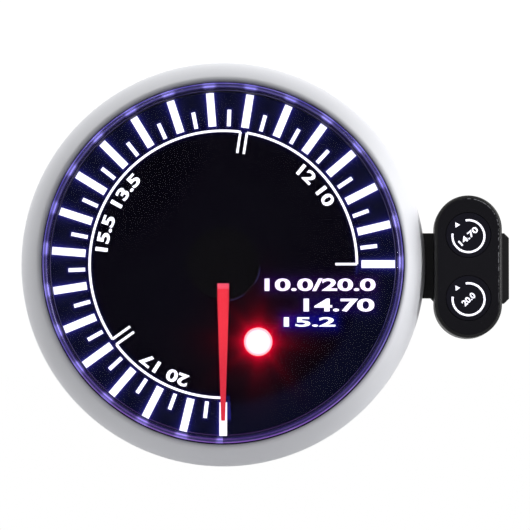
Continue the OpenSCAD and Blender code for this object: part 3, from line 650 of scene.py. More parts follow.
@dataclass(frozen=True)
class Scale:
    """Sizes of the printed scale, in metres, with angles clockwise from straight down.

    Attributes:
        major_in: Inner radius of all marks.
        major_out: Outer radius of the large marks.
        minor_out: Outer radius of the small marks.
        major_w: Width of the large marks.
        minor_w: Width of the small marks.
        line_r: Radius of the scale line.
        steps: Number of steps from the first large mark to the last.
        sweep: Share of a full turn that the whole scale takes.
        spare: Share of a full turn by which its light goes past its ends.
        lamp: Place of the peak lamp as x and z.
        lamp_r: Radius of the peak lamp.
    """

    major_in: float = 23.05 * MM
    major_out: float = 28.65 * MM
    minor_out: float = 25.85 * MM
    major_w: float = 1.3 * MM
    minor_w: float = 0.65 * MM
    line_r: float = 22.3 * MM
    steps: int = 20
    sweep: float = 0.75
    spare: float = 0.008
    lamp: Point = (5.83 * MM, -12.97 * MM)
    lamp_r: float = 2.3 * MM

    def turn(self, graph: Graph) -> Value:
        """Share of a full turn, clockwise from straight down."""
        around = (-graph.x).angle_with(-graph.z) / FULL_TURN
        return (around + 1).fraction()

    def on_scale(self, turn: Value) -> Value:
        """1 where the scale runs, and 0 in its gap."""
        end = self.sweep + 2 * self.spare
        return 1 - (turn + self.spare).fraction().rise(end, end + self.spare)

    def mark_distance(self, graph: Graph, turn: Value, large: bool) -> Value:
        """Distance from the nearest mark of one kind.

        Args:
            graph: The material's graph.
            turn: Share of a full turn.
            large: Whether the large marks are meant.

        Returns:
            The distance in metres.
        """
        step_share = self.sweep / self.steps
        half_width = (self.major_w if large else self.minor_w) / 2
        outer = self.major_out if large else self.minor_out
        radius = graph.radius()
        offset = abs((turn / step_share + (0.5 if large else 0.0)).fraction() - 0.5)
        beside = (offset * (step_share * FULL_TURN) * radius - half_width).most(0.0)
        beyond = (self.major_in - radius).most(radius - outer).most(0.0)
        return beside.hypotenuse(beyond)


@dataclass(frozen=True)
class DialPrint:
    """Black face of the dial, with the light that spills from its marks and its lamp.

    Attributes:
        scale: Sizes of the scale.
        words: Lines of digits with light round them.
        name: Name of the material.
        ink: Colour of the print itself.
        inner: Glow of the face inside the scale line.
        outer: Glow of the face among the marks.
        zone: Length over which one becomes the other, past the marks' foot.
        drift: Size of the places in which the outer glow is weaker or stronger.
        drift_share: Weakest and strongest outer glow.
        spill: Colour of the light from the marks.
        spill_share: Strength of that light close to the large marks.
        small_share: Its strength at the small marks next to that.
        line_share: Its strength at the scale line next to that.
        wide_share: Strength of the faint wide light of the large marks.
        large_reach: Length over which the light of the large marks fades.
        small_reach: Length over which that of the small marks and of the line fades.
        wide_reach: Length over which the faint wide light fades.
        red: Colour of the light round the lamp.
        close_reach: Length over which the lamp's bright light fades.
        close_share: Strength of its bright light.
        far_reach: Length over which its faint light fades.
        far_share: Strength of its faint light.
        rays: Number, turn, sharpness and strength of each set of its rays.
        glint: Colour of the broken arc at the foot of the needle's cap.
        glint_share: Strength of that arc.
        glint_r: Radius of that arc.
        glint_w: Width of that arc.
        glint_soft: Softness of the arc's edges.
        glint_spans: First and last angle of each of its pieces in radians.
        glint_fade: Angle over which a piece ends.
        roughness: Lowest and highest roughness.
        fibre: Size of the print's fine relief.
        depth: Depth of the print's fine relief.
    """

    scale: Scale
    words: Sequence[LineText]
    name: str = "dial_print"
    ink: Colour = shown(4, 4, 6)
    inner: Colour = shown(2, 1, 6)
    outer: Colour = shown(7, 9, 28)
    zone: float = 1.5 * MM
    drift: float = 7 * MM
    drift_share: Span = (0.7, 1.3)
    spill: Colour = shown(70, 66, 205)
    spill_share: float = 0.36
    small_share: float = 0.7
    line_share: float = 0.45
    wide_share: float = 0.09
    large_reach: float = 0.26 * MM
    small_reach: float = 0.2 * MM
    wide_reach: float = 1.1 * MM
    red: Colour = shown(255, 0, 46)
    close_reach: float = 0.7 * MM
    close_share: float = 0.85
    far_reach: float = 2.0 * MM
    far_share: float = 0.07
    rays: Sequence[tuple[float, float, float, float]] = ((8, 0.9, 3.0, 0.16), (4, -0.5, 6.0, 0.12))
    glint: Colour = shown(120, 120, 190)
    glint_share: float = 0.2
    glint_r: float = 6.15 * MM
    glint_w: float = 0.06 * MM
    glint_soft: float = 0.08 * MM
    glint_spans: Sequence[Span] = ((-0.50, -0.16), (-1.34, -1.02))
    glint_fade: float = 0.12
    roughness: Span = (0.62, 0.82)
    fibre: float = 0.18 * MM
    depth: float = 0.004 * MM

    def material(self) -> bpy.types.Material:
        """Builds the material.

        Returns:
            The finished material.
        """
        graph = Graph(self.name)
        scale = self.scale
        radius = graph.radius()
        turn = scale.turn(graph)
        lit = scale.on_scale(turn)
        near_large = scale.mark_distance(graph, turn, True)
        near_small = scale.mark_distance(graph, turn, False)
        near_line = abs(radius - scale.line_r)
        halo = near_large.decay(self.large_reach) + self.small_share * near_small.decay(self.small_reach)
        halo = halo + self.line_share * near_line.decay(self.small_reach)
        wide = near_large.decay(self.wide_reach) * radius.rise(scale.major_in, scale.major_out)
        zone = radius.rise(scale.line_r, scale.major_in + self.zone)
        zone = zone * graph.noise(self.drift).spread(*self.drift_share)
        face = graph.mix(zone, self.inner, self.outer)
        fibre = graph.noise(self.fibre, detail=3.0)
        light = graph.glow((
            (halo * lit * self.spill_share, self.spill),
            (wide * lit * self.wide_share, self.spill),
            (self._lamp_spill(graph), self.red),
            *((word.level(graph) * word.strength, word.halo) for word in self.words),
            (self._cap_glint(graph) * self.glint_share, self.glint),
        ), face)
        return graph.close({
            "Base Color": self.ink,
            "Roughness": fibre.spread(*self.roughness),
            "Specular IOR Level": 0.0,
            "Emission Color": light,
            "Emission Strength": 1.0,
            "Normal": graph.relief(fibre, self.depth),
        })

    def _lamp_spill(self, graph: Graph) -> Value:
        """Round glow of the lamp with its faint rays.

        Args:
            graph: The material's graph.

        Returns:
            The light's strength.
        """
        scale = self.scale
        away = (graph.radius(scale.lamp) - scale.lamp_r).most(0.0)
        angle = (graph.z - scale.lamp[1]).angle_with(graph.x - scale.lamp[0])
        faint: Number = self.far_share
        for count, lean, sharpness, share in self.rays:
            beam = 0.5 + 0.5 * (angle * count + lean).cosine()
            faint = faint + share * beam.power(sharpness)
        return away.decay(self.close_reach) * self.close_share + away.decay(self.far_reach) * faint

    def _cap_glint(self, graph: Graph) -> Value:
        """Faint broken arc of light at the foot of the needle's cap.

        Args:
            graph: The material's graph.

        Returns:
            1 on the arc, and 0 away from it.
        """
        thin = graph.radius().bump(self.glint_r, self.glint_r + self.glint_w, self.glint_soft)
        angle = graph.z.angle_with(graph.x)
        right, low = (angle.bump(start, end, self.glint_fade) for start, end in self.glint_spans)
        return thin * (right + low)


@dataclass(frozen=True)
class NeedleRed:
    """Edge-lit red bar of the needle.

    Attributes:
        name: Name of the material.
        root: Distance from the axis at which the bar starts to show.
        band: Length of the lighter band at the root.
        soft: Length over which the band ends.
        half_width: Half the bar's width at the root.
        side_from: Share of that half width at which the darker sides start.
        dim: Distances from the axis between which the bar gets dimmer.
        dim_share: How much dimmer it gets.
        grain: Size of the surface's grain.
        roughness: Lowest and highest roughness.
        specular: Strength of its gloss.
        strength: Strength of its light.
        plastic: Colour of the unlit plastic.
        light: Colours of the bar's middle, its sides, its tip and the band.
    """

    name: str = "needle_red_lit"
    root: float = 3.3 * MM
    band: float = 0.85 * MM
    soft: float = 0.12 * MM
    half_width: float = 0.975 * MM
    side_from: float = 0.62
    dim: Span = (10 * MM, 20 * MM)
    dim_share: float = 0.8
    grain: float = 0.5 * MM
    roughness: Span = (0.38, 0.48)
    specular: float = 0.3
    strength: float = 0.93
    plastic: Colour = shown(150, 12, 26)
    light: Sequence[Colour] = (
        shown(238, 46, 62), shown(206, 26, 46), shown(206, 34, 56), shown(243, 86, 108)
    )

    def material(self) -> bpy.types.Material:
        """Builds the material.

        Returns:
            The finished material.
        """
        graph = Graph(self.name)
        middle, side, tip, root = self.light
        along = -graph.z
        end = self.root + self.band
        edge = abs(graph.x).rise(self.half_width * self.side_from, self.half_width)
        bar = graph.mix(along.rise(*self.dim) * self.dim_share, graph.mix(edge, middle, side), tip)
        return graph.close({
            "Base Color": self.plastic,
            "Roughness": graph.noise(self.grain).spread(*self.roughness),
            "Emission Color": graph.mix(1 - along.rise(end, end + self.soft), bar, root),
            "Emission Strength": self.strength,
            "Specular IOR Level": self.specular,
        })


@dataclass(frozen=True)
class LampWindow:
    """Window of the peak lamp, nearly white in the middle.

    Attributes:
        centre: Place of the lamp as x and z.
        radius: Radius of the window.
        name: Name of the material.
        plastic: Colour of the unlit window.
        core: Two whites between which its middle varies.
        edge: Colour of its edge.
        edge_from: Share of the radius at which the edge's colour sets in.
        flare: Size of the variations in metres.
        flare_share: How far the variations go.
        roughness: Its roughness.
        specular: Strength of its gloss.
        strength: Strength of its light.
    """

    centre: Point
    radius: float
    name: str = "lamp_window"
    plastic: Colour = shown(230, 60, 80)
    core: tuple[Colour, Colour] = (shown(255, 252, 250), shown(255, 232, 236))
    edge: Colour = shown(255, 170, 176)
    edge_from: float = 0.78
    flare: float = 0.7 * MM
    flare_share: float = 0.25
    roughness: float = 0.3
    specular: float = 0.1
    strength: float = 1.25

    def material(self) -> bpy.types.Material:
        """Builds the material.

        Returns:
            The finished material.
        """
        graph = Graph(self.name)
        ring = graph.radius(self.centre).rise(self.radius * self.edge_from, self.radius)
        core = graph.mix(graph.noise(self.flare) * self.flare_share, *self.core)
        return graph.close({
            "Base Color": self.plastic,
            "Roughness": self.roughness,
            "Emission Color": graph.mix(ring, core, self.edge),
            "Emission Strength": self.strength,
            "Specular IOR Level": self.specular,
        })


@dataclass(frozen=True)
class LensGlass:
    """Clear lens whose bevel catches the violet light of the dial.

    Attributes:
        scale: Sizes of the scale.
        name: Name of the material.
        rim: Radius of the glass.
        face: Heights in front of the panel between which the glass starts to catch light.
        rings: Inner edge, outer edge and softness of the rim's light, the inner line and the
            hairline, in millimetres inside the rim.
        bevel: Where the light between the rings starts and is whole, in metres inside the rim.
        fleck_reach: Length over which the flecks beside the large marks fade.
        fleck_share: Strength of a fleck on the inner line and between the rings.
        line_share: Strength of the inner line, and what a lit mark and a fleck add to it.
        rim_share: Strength of the rim's light, and what a lit mark and its drift add to it.
        hair_share: Strength of the hairline.
        tint: Colour of the glass.
        index: Its index of refraction.
        violets: Two violets between which the rings vary.
        drift: Size of these variations.
        warm: Colour that the rings turn to at the bottom.
        warm_from: Depths below the axis between which they turn to it.
        warm_share: How far they turn to it.
        deep: Colour between the rings.
        fleck: Colour of the flecks.
        dust: Colour of the specks of dust on the glass, which glow with painted light.
        dust_size: Distance between specks of dust.
        dust_from: Radii between which the dust sets in.
        dust_patch: Size of the patches in which it lies.
        dust_share: Strength of its light.
    """

    scale: Scale
    name: str = "lens_glass"
    rim: float = 30.0 * MM
    face: Span = (9.4 * MM, 9.6 * MM)
    rings: Sequence[Band] = ((0.20, 0.08, 0.06), (0.75, 0.58, 0.08), (1.38, 1.33, 0.05))
    bevel: Span = (1.3 * MM, 0.7 * MM)
    fleck_reach: float = 0.12 * MM
    fleck_share: Span = (0.28, 0.32)
    line_share: Sequence[float] = (0.16, 0.08, 0.4)
    rim_share: Sequence[float] = (0.58, -0.1, 0.25)
    hair_share: float = 0.22
    tint: Colour = shown(240, 239, 246)
    index: float = 1.08
    violets: tuple[Colour, Colour] = (shown(104, 94, 196), shown(150, 138, 226))
    drift: float = 4 * MM
    warm: Colour = shown(158, 84, 176)
    warm_from: Span = (8 * MM, 30 * MM)
    warm_share: float = 0.6
    deep: Colour = shown(30, 23, 80)
    fleck: Colour = shown(160, 152, 255)
    dust: Colour = shown(150, 150, 240)
    dust_size: float = 1.3 * MM
    dust_from: Span = (23 * MM, 27 * MM)
    dust_patch: float = 9 * MM
    dust_share: float = 0.16

    def material(self) -> bpy.types.Material:
        """Builds the material.

        Returns:
            The finished material.
        """
        graph = Graph(self.name)
        radius = graph.radius()
        turn = self.scale.turn(graph)
        lit = self.scale.on_scale(turn)
        near = self.scale.mark_distance(graph, turn, True)
        fleck = (near - (radius - self.scale.major_out)).most(0.0).decay(self.fleck_reach) * lit
        rim, line, hair = (
            radius.bump(self.rim - inner * MM, self.rim - outer * MM, soft * MM)
            for inner, outer, soft in self.rings
        )
        between = radius.rise(self.rim - self.bevel[0], self.rim - self.bevel[1])
        drift = graph.noise(self.drift)
        violet = graph.mix(drift.rise(0.3, 0.7), *self.violets)
        violet = graph.mix((-graph.z).rise(*self.warm_from) * self.warm_share, violet, self.warm)
        # Specks of dust on the glass, whose glow in the emission is painted light.
        specks = graph.cells(self.dust_size).rise(0.07, 0.03) * radius.rise(*self.dust_from)
        front = (-graph.y).rise(*self.face)
        on_line, on_between = self.fleck_share
        lights = (
            (between, self.deep),
            (line * self._level(self.line_share, lit, fleck), violet),
            (rim * self._level(self.rim_share, lit, drift), violet),
            (hair * self.hair_share, violet),
            (fleck * (on_line * line + on_between * between), self.fleck),
            (specks * graph.noise(self.dust_patch) * self.dust_share, self.dust),
        )
        return graph.close({
            "Base Color": self.tint,
            "Roughness": 0.0,
            "IOR": self.index,
            "Transmission Weight": 1.0,
            "Emission Color": graph.glow((share * front, colour) for share, colour in lights),
            "Emission Strength": 1.0,
        })

    @staticmethod
    def _level(shares: Sequence[float], first: Value, second: Value) -> Value:
        """Strength that is made of a fixed part and of two parts that vary."""
        fixed, by_first, by_second = shares
        return fixed + by_first * first + by_second * second


@dataclass(frozen=True)
class BezelPaint:
    """Satin white paint of the bezel, with painted shade on the edge next to the glass.

    Attributes:
        name: Name of the material.
        colour: Colour of the paint.
        lip: Colour of the painted shade on the edge next to the glass.
        shade: Radii at which the painted shade starts and ends.
        drift: Size of the places in which the paint is duller.
        dull: Brightness of such a place.
        roughness: Lowest and highest roughness.
        specular: Strength of its gloss.
        peel: Size of the paint's orange peel in metres.
        depth: Depth of the peel in metres.
    """

    name: str = "bezel_paint"
    colour: Colour = shown(232, 233, 238)
    lip: Colour = shown(128, 128, 136)
    shade: Span = (29.95 * MM, 30.75 * MM)
    drift: float = 9 * MM
    dull: float = 0.96
    roughness: Span = (0.42, 0.52)
    specular: float = 0.4
    peel: float = 0.5 * MM
    depth: float = 0.0025 * MM

    def material(self) -> bpy.types.Material:
        """Builds the material.

        Returns:
            The finished material.
        """
        graph = Graph(self.name)
        drift = graph.noise(self.drift)
        paint = graph.mix(drift, tinted(self.colour, self.dull), self.colour)
        return graph.close({
            # Painted shade: the paint turns to a grey towards the glass.
            "Base Color": graph.mix(graph.radius().rise(*self.shade), self.lip, paint),
            "Roughness": drift.spread(*self.roughness),
            "Normal": graph.relief(graph.noise(self.peel, detail=3.0), self.depth),
            "Specular IOR Level": self.specular,
        })


@dataclass(frozen=True)
class FilmSheet:
    """Matt black face film, whose cut edge catches light at the top and on the right.

    Attributes:
        centre: Middle of the film as x and z.
        radius: Radius of its half-round ends.
        straight: Half the length of its straight sides.
        name: Name of the material.
        black: Colour of the film.
        specks: Colour of the dust on it.
        edge_light: Colour of the light on its cut edge.
        edge: Where that light starts and ends inside the edge, and its softness.
        right: Places across between which the light sets in.
        top: Places along between which it sets in.
        gaps: Size of the gaps in that light.
        strength: Strength of that light.
        speck_size: Distance between specks of dust.
        speck_patch: Size of the patches in which they lie.
        roughness: Lowest and highest roughness.
        specular: Strength of its gloss.
        fine: Size of the film's fine relief.
        depth: Depth of the film's fine relief.
    """

    centre: Point
    radius: float
    straight: float
    name: str = "film_sheet"
    black: Colour = shown(9, 8, 14)
    specks: Colour = shown(70, 70, 78)
    edge_light: Colour = shown(160, 160, 166)
    edge: Band = (0.13 * MM, 0.05 * MM, 0.03 * MM)
    right: Span = (1.5 * MM, 4.0 * MM)
    top: Span = (-9 * MM, 2 * MM)
    gaps: float = 0.5 * MM
    strength: float = 0.5
    speck_size: float = 0.55 * MM
    speck_patch: float = 2 * MM
    roughness: Span = (0.45, 0.60)
    specular: float = 0.09
    fine: float = 0.18 * MM
    depth: float = 0.004 * MM

    def material(self) -> bpy.types.Material:
        """Builds the material.

        Returns:
            The finished material.
        """
        graph = Graph(self.name)
        across, along = graph.x - self.centre[0], graph.z - self.centre[1]
        beyond = (abs(along) - self.straight).most(0.0)
        inner, outer, soft = self.edge
        cut = across.hypotenuse(beyond).bump(self.radius - inner, self.radius - outer, soft)
        broken = graph.noise(self.gaps, detail=3.0).rise(0.42, 0.6)
        lit_side = (across + 0.7 * beyond).rise(*self.right) * along.rise(*self.top)
        specks = graph.cells(self.speck_size).rise(0.10, 0.04) * graph.noise(self.speck_patch)
        fine = graph.noise(self.fine, detail=3.0)
        return graph.close({
            "Base Color": graph.mix(specks, self.black, self.specks),
            "Roughness": fine.spread(*self.roughness),
            "Specular IOR Level": self.specular,
            "Emission Color": graph.glow([(cut * broken * lit_side * self.strength, self.edge_light)]),
            "Emission Strength": 1.0,
            "Normal": graph.relief(fine, self.depth),
        })


@dataclass(frozen=True)
class FloorPaper:
    """Pale paper under the object, which fades out towards its edge and is clear from below.

    Attributes:
        name: Name of the material.
        colour: Colour of the paper.
        solid: Radius within which the paper is whole.
        edge: Radius at which it has faded out.
        grain: Size of the paper's grain in metres.
        dull: Brightness of the grain's darker side.
    """

    name: str = "floor_paper"
    colour: Colour = (0.72, 0.72, 0.725)
    solid: float = 0.10
    edge: float = 0.19
    grain: float = 0.4 * MM
    dull: float = 0.985

    def material(self) -> bpy.types.Material:
        """Builds the material.

        Returns:
            The finished material.
        """
        graph = Graph(self.name)
        under = graph.node("ShaderNodeNewGeometry").outputs["Backfacing"]
        fade = graph.x.hypotenuse(graph.y).rise(self.solid, self.edge).most(Value(graph, under))
        colour = graph.mix(graph.noise(self.grain), tinted(self.colour, self.dull), self.colour)
        paper = graph.node("ShaderNodeBsdfDiffuse", None, {"Color": colour}).outputs[0]
        clear = graph.node("ShaderNodeBsdfTransparent").outputs[0]
        both = graph.node("ShaderNodeMixShader", None, {0: fade, 1: paper, 2: clear})
        graph.node("ShaderNodeOutputMaterial", None, {"Surface": both.outputs[0]})
        return graph.owner


class Bench:
    """Turns bmeshes into finished pieces and dresses the nodes of the frame."""

    def __init__(self, frame: Mapping[str, Any]) -> None:
        """Keeps the frame.
        """
        self.nodes: Mapping[str, bpy.types.Object] = frame["nodes"]
        self.materials: dict[str, bpy.types.Material] = {}

    def finish(self, style: Finish) -> bpy.types.Material:
        """Builds the material of a finish, or finds it if it is there.

        Args:
            style: The finish.

        Returns:
            Its material.
        """
        if style.name not in self.materials:
            self.materials[style.name] = style.material()
        return self.materials[style.name]

    def dress_all(self, rows: Iterable[tuple[Any, ...]]) -> None:
        """Gives nodes of the frame their finishes.

        Args:
            rows: A finish and the names of its nodes in each row.
        """
        for style, *names in rows:
            material = self.finish(style)
            for name in names:
                node = self.nodes[name]
                if not node.material_slots:
                    node.data.materials.append(material)
                for slot in node.material_slots:
                    slot.material = material
                LOG.info("dressed %s in %s", name, style.name)

    def piece(
        self,
        name: str,
        shape: bmesh.types.BMesh,
        style: Finish,
        body: str,
        sharp: float = 35.0,
    ) -> bpy.types.Object:
        """Ends a bmesh as a piece that rides on a body.

        Args:
            name: Name of the piece.
            shape: Its bmesh, which is freed.
            style: Its finish.
            body: The body that carries it.
            sharp: Angle in degrees from which an edge stays sharp.

        Returns:
            The new object.
        """
        for face in shape.faces:
            face.smooth = True
        for edge in shape.edges:
            edge.smooth = edge.calc_face_angle(0.0) < math.radians(sharp)
        mesh = bpy.data.meshes.new(name)
        shape.to_mesh(mesh)
        shape.free()
        mesh.materials.append(self.finish(style))
        made = placed(name, mesh)
        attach(made, body)
        LOG.info("made %s with %d faces on %s", name, len(mesh.polygons), body)
        return made


def arc(centre: Point, radius: float, start: float, end: float, steps: int) -> list[Point]:
    """Points on a round stretch of a profile.

    Args:
        centre: Centre of the arc.
        radius: Radius of the arc.
        start: First angle in radians.
        end: Last angle in radians.
        steps: Number of straight steps.

    Returns:
        The points, both ends included.
    """
    angles = (start + (end - start) * step / steps for step in range(steps + 1))
    return [(centre[0] + radius * math.cos(a), centre[1] + radius * math.sin(a)) for a in angles]


def turned(profile: Sequence[Point], steps: int, closed: bool) -> bmesh.types.BMesh:
    """Spins a profile round the gauge's axis.

    Args:
        profile: Points as radius and height in front of the panel.
        steps: Number of steps round the axis.
        closed: Whether the last point joins the first.

    Returns:
        The turned shape.
    """
    shape = bmesh.new()
    verts = [shape.verts.new((radius, -height, 0.0)) for radius, height in profile]
    pairs = list(zip(verts, verts[1:]))
    if closed:
        pairs.append((verts[-1], verts[0]))
    edges = [shape.edges.new(pair) for pair in pairs]
    bmesh.ops.spin(
        shape, geom=[*verts, *edges], cent=(0, 0, 0), axis=(0, 1, 0),
        angle=FULL_TURN, steps=steps, use_merge=True,
    )
    bmesh.ops.remove_doubles(shape, verts=shape.verts, dist=SAME_POINT)
    bmesh.ops.recalc_face_normals(shape, faces=shape.faces)
    return shape


def lettering(text: str, weight: float, size: Point, thickness: float) -> bmesh.types.BMesh:
    """Digits as a thin plate in the XY plane, centred on the origin.

    Args:
        text: The digits.
        weight: How much the strokes are thickened before the plate gets its size.
        size: Width and height of the plate in metres.
        thickness: Thickness of the plate in metres.

    Returns:
        The plate.
    """
    curve = bpy.data.curves.new("digits", "FONT")
    curve.body = text
    curve.offset = weight
    curve.extrude = 0.02
    curve.resolution_u = 6
    holder = placed("digits", curve)
    bpy.context.view_layer.update()
    mesh = bpy.data.meshes.new_from_object(holder.evaluated_get(bpy.context.evaluated_depsgraph_get()))
    bpy.data.objects.remove(holder)
    bpy.data.curves.remove(curve)
    shape = bmesh.new()
    shape.from_mesh(mesh)
    bpy.data.meshes.remove(mesh)
    bmesh.ops.remove_doubles(shape, verts=shape.verts, dist=100 * SAME_POINT)
    low, high = (Vector([end(vert.co[k] for vert in shape.verts) for k in range(3)]) for end in (min, max))
    factors = [wanted / found for wanted, found in zip((*size, thickness), high - low)]
    bmesh.ops.translate(shape, verts=shape.verts, vec=-(low + high) / 2)
    bmesh.ops.scale(shape, verts=shape.verts, vec=factors)
    return shape


def stand_up(shape: bmesh.types.BMesh, place: Vector, tilt: float = 0.0) -> None:
    """Turns a plate from the XY plane to face -Y and moves it to its place.

    Args:
        shape: The plate.
        place: Where its centre goes.
        tilt: Turn in the dial's plane in radians, counter-clockwise from the front.
    """
    turn = Matrix.Rotation(math.pi / 2, 4, "X") @ Matrix.Rotation(tilt, 4, "Z")
    bmesh.ops.transform(shape, matrix=Matrix.Translation(place) @ turn, verts=shape.verts)


@dataclass
class Rim:
    """The bezel ring and the lens, in metres.

    Attributes:
        outer_r: Outer radius of the bezel.
        lip_r: Radius of the bezel's opening.
        flank_r: Radius of the curve down the bezel's flank.
        crown_r: Radius of the bezel's crown.
        back: Height of the bezel's back face in front of the panel.
        flank: Height at which the flank's curve starts.
        lip: Height of the lens lip's face.
        front: Height of the bezel's front.
        inner_r: Radius of the bezel's skirt inside.
        chamfer: Width of the chamfers on the bezel's back face.
        glass_r: Radius of the glass.
        glass_front: Height of the glass's face.
        bevel_w: Width of the glass's bevel.
        bevel_h: Depth of the glass's bevel.
        soft: Width of the soft edges of that bevel.
        lens_lip_r: Radius of the lens's lip.
        lens_back: Height of the lens lip's back.
        pocket_r: Radius of the hollow behind the lens.
        pocket: Height of the hollow's floor.
        steps: Number of steps round the axis.
        flank_steps: Number of steps down the flank's curve.
        crown_steps: Number of steps over the crown.
    """

    outer_r: float = 33.8 * MM
    lip_r: float = 30.2 * MM
    flank_r: float = 9.5 * MM
    crown_r: float = 0.9 * MM
    back: float = 2.0 * MM
    flank: float = 3.2 * MM
    lip: float = 8.9 * MM
    front: float = 10.1 * MM
    inner_r: float = 31.4 * MM
    chamfer: float = 0.15 * MM
    glass_r: float = 30.0 * MM
    glass_front: float = 11.0 * MM
    bevel_w: float = 1.0 * MM
    bevel_h: float = 0.8 * MM
    soft: float = 0.06 * MM
    lens_lip_r: float = 30.9 * MM
    lens_back: float = 7.9 * MM
    pocket_r: float = 28.4 * MM
    pocket: float = 8.6 * MM
    steps: int = 288
    flank_steps: int = 28
    crown_steps: int = 14

    def build(self, bench: Bench, scale: Scale) -> None:
        """Makes the bezel and the lens.

        Args:
            bench: The bench.
            scale: Sizes of the scale, for the light in the lens.
        """
        ring = turned(self.bezel_profile(), self.steps, True)
        bezel = bench.piece("bezel_shell", ring, BezelPaint(), "housing")
        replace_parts(bezel, "bezel_ring")
        disc = turned(self.lens_profile(), self.steps, False)
        lens = bench.piece("lens_disc", disc, LensGlass(scale), "housing")
        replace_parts(lens, "lens")
        rubber = Moulded("gasket_rubber_black", shown(24, 24, 26), 0.75, 0.4 * MM, 0.01 * MM)
        bench.dress_all([(rubber, "lens_gasket")])

    def bezel_profile(self) -> list[Point]:
        """Profile of the bezel: a long flank curve that runs into a tight crown.

        Returns:
            Points as radius and height in front of the panel.
        """
        flank_centre = (self.outer_r - self.flank_r, self.flank)
        crown_height = self.front - self.crown_r
        reach = self.flank_r - self.crown_r
        crown_x = flank_centre[0] + math.sqrt(reach**2 - (crown_height - self.flank) ** 2)
        meet = math.atan2(crown_height - self.flank, crown_x - flank_centre[0])
        last = math.pi - math.acos(min(1.0, (crown_x - self.lip_r) / self.crown_r))
        return [
            (self.inner_r, self.back + self.chamfer),
            (self.inner_r + self.chamfer, self.back),
            (self.outer_r - self.chamfer, self.back),
            (self.outer_r, self.back + self.chamfer),
            *arc(flank_centre, self.flank_r, 0.0, meet, self.flank_steps),
            *arc((crown_x, crown_height), self.crown_r, meet, last, self.crown_steps)[1:],
            (self.lip_r, self.lip),
            (self.inner_r, self.lip),
        ]

    def lens_profile(self) -> list[Point]:
        """Profile of the lens, from its back on the axis to its face on the axis.

        Returns:
            Points as radius and height in front of the panel.
        """
        bevel_r, bevel_foot = self.glass_r - self.bevel_w, self.glass_front - self.bevel_h
        return [
            (0.0, self.pocket),
            (self.pocket_r, self.pocket),
            (self.pocket_r, self.lens_back),
            (self.lens_lip_r, self.lens_back),
            (self.lens_lip_r, self.lip),
            (self.glass_r, self.lip),
            (self.glass_r, bevel_foot - self.soft),
            (self.glass_r - self.soft, bevel_foot + self.soft / 2),
            (bevel_r + self.soft, self.glass_front - self.soft / 2),
            (bevel_r - self.soft, self.glass_front),
            (0.0, self.glass_front),
        ]


@dataclass(frozen=True)
class ArcText:
    """Digits that run clockwise along the scale with their tops outwards.

    Attributes:
        name: Name of the piece.
        text: The digits.
        start: First angle in degrees, clockwise from straight down.
        end: Last angle in degrees.
    """

    name: str
    text: str
    start: float
    end: float


@dataclass(frozen=True)
class LineText:
    """Digits on a straight line of the dial, with a soft light round them.

    Attributes:
        name: Name of the piece.
        text: The digits.
        left: Left end in millimetres from the axis.
        right: Right end in millimetres from the axis.
        top: Upper edge in millimetres from the axis.
        bottom: Lower edge in millimetres from the axis.
        light: Colour of the digits' light.
        halo: Colour of the light round them.
        strength: Strength of the light round them.
        reach: Length in metres over which it fades.
    """

    name: str
    text: str
    left: float
    right: float
    top: float
    bottom: float
    light: Colour
    halo: Colour
    strength: float
    reach: float = 0.55 * MM

    @property
    def middle(self) -> Point:
        """Middle of the line as x and z in metres."""
        return (self.left + self.right) / 2 * MM, (self.top + self.bottom) / 2 * MM

    @property
    def size(self) -> Point:
        """Width and height of the line in metres."""
        return (self.right - self.left) * MM, (self.top - self.bottom) * MM

    def level(self, graph: Graph) -> Value:
        """Light round the line.

        Args:
            graph: The material's graph.

        Returns:
            1 on the line, fading round it.
        """
        beside = (abs(graph.x - self.middle[0]) - self.size[0] / 2).most(0.0)
        above = (abs(graph.z - self.middle[1]) - self.size[1] / 2).most(0.0)
        return beside.hypotenuse(above).decay(self.reach)


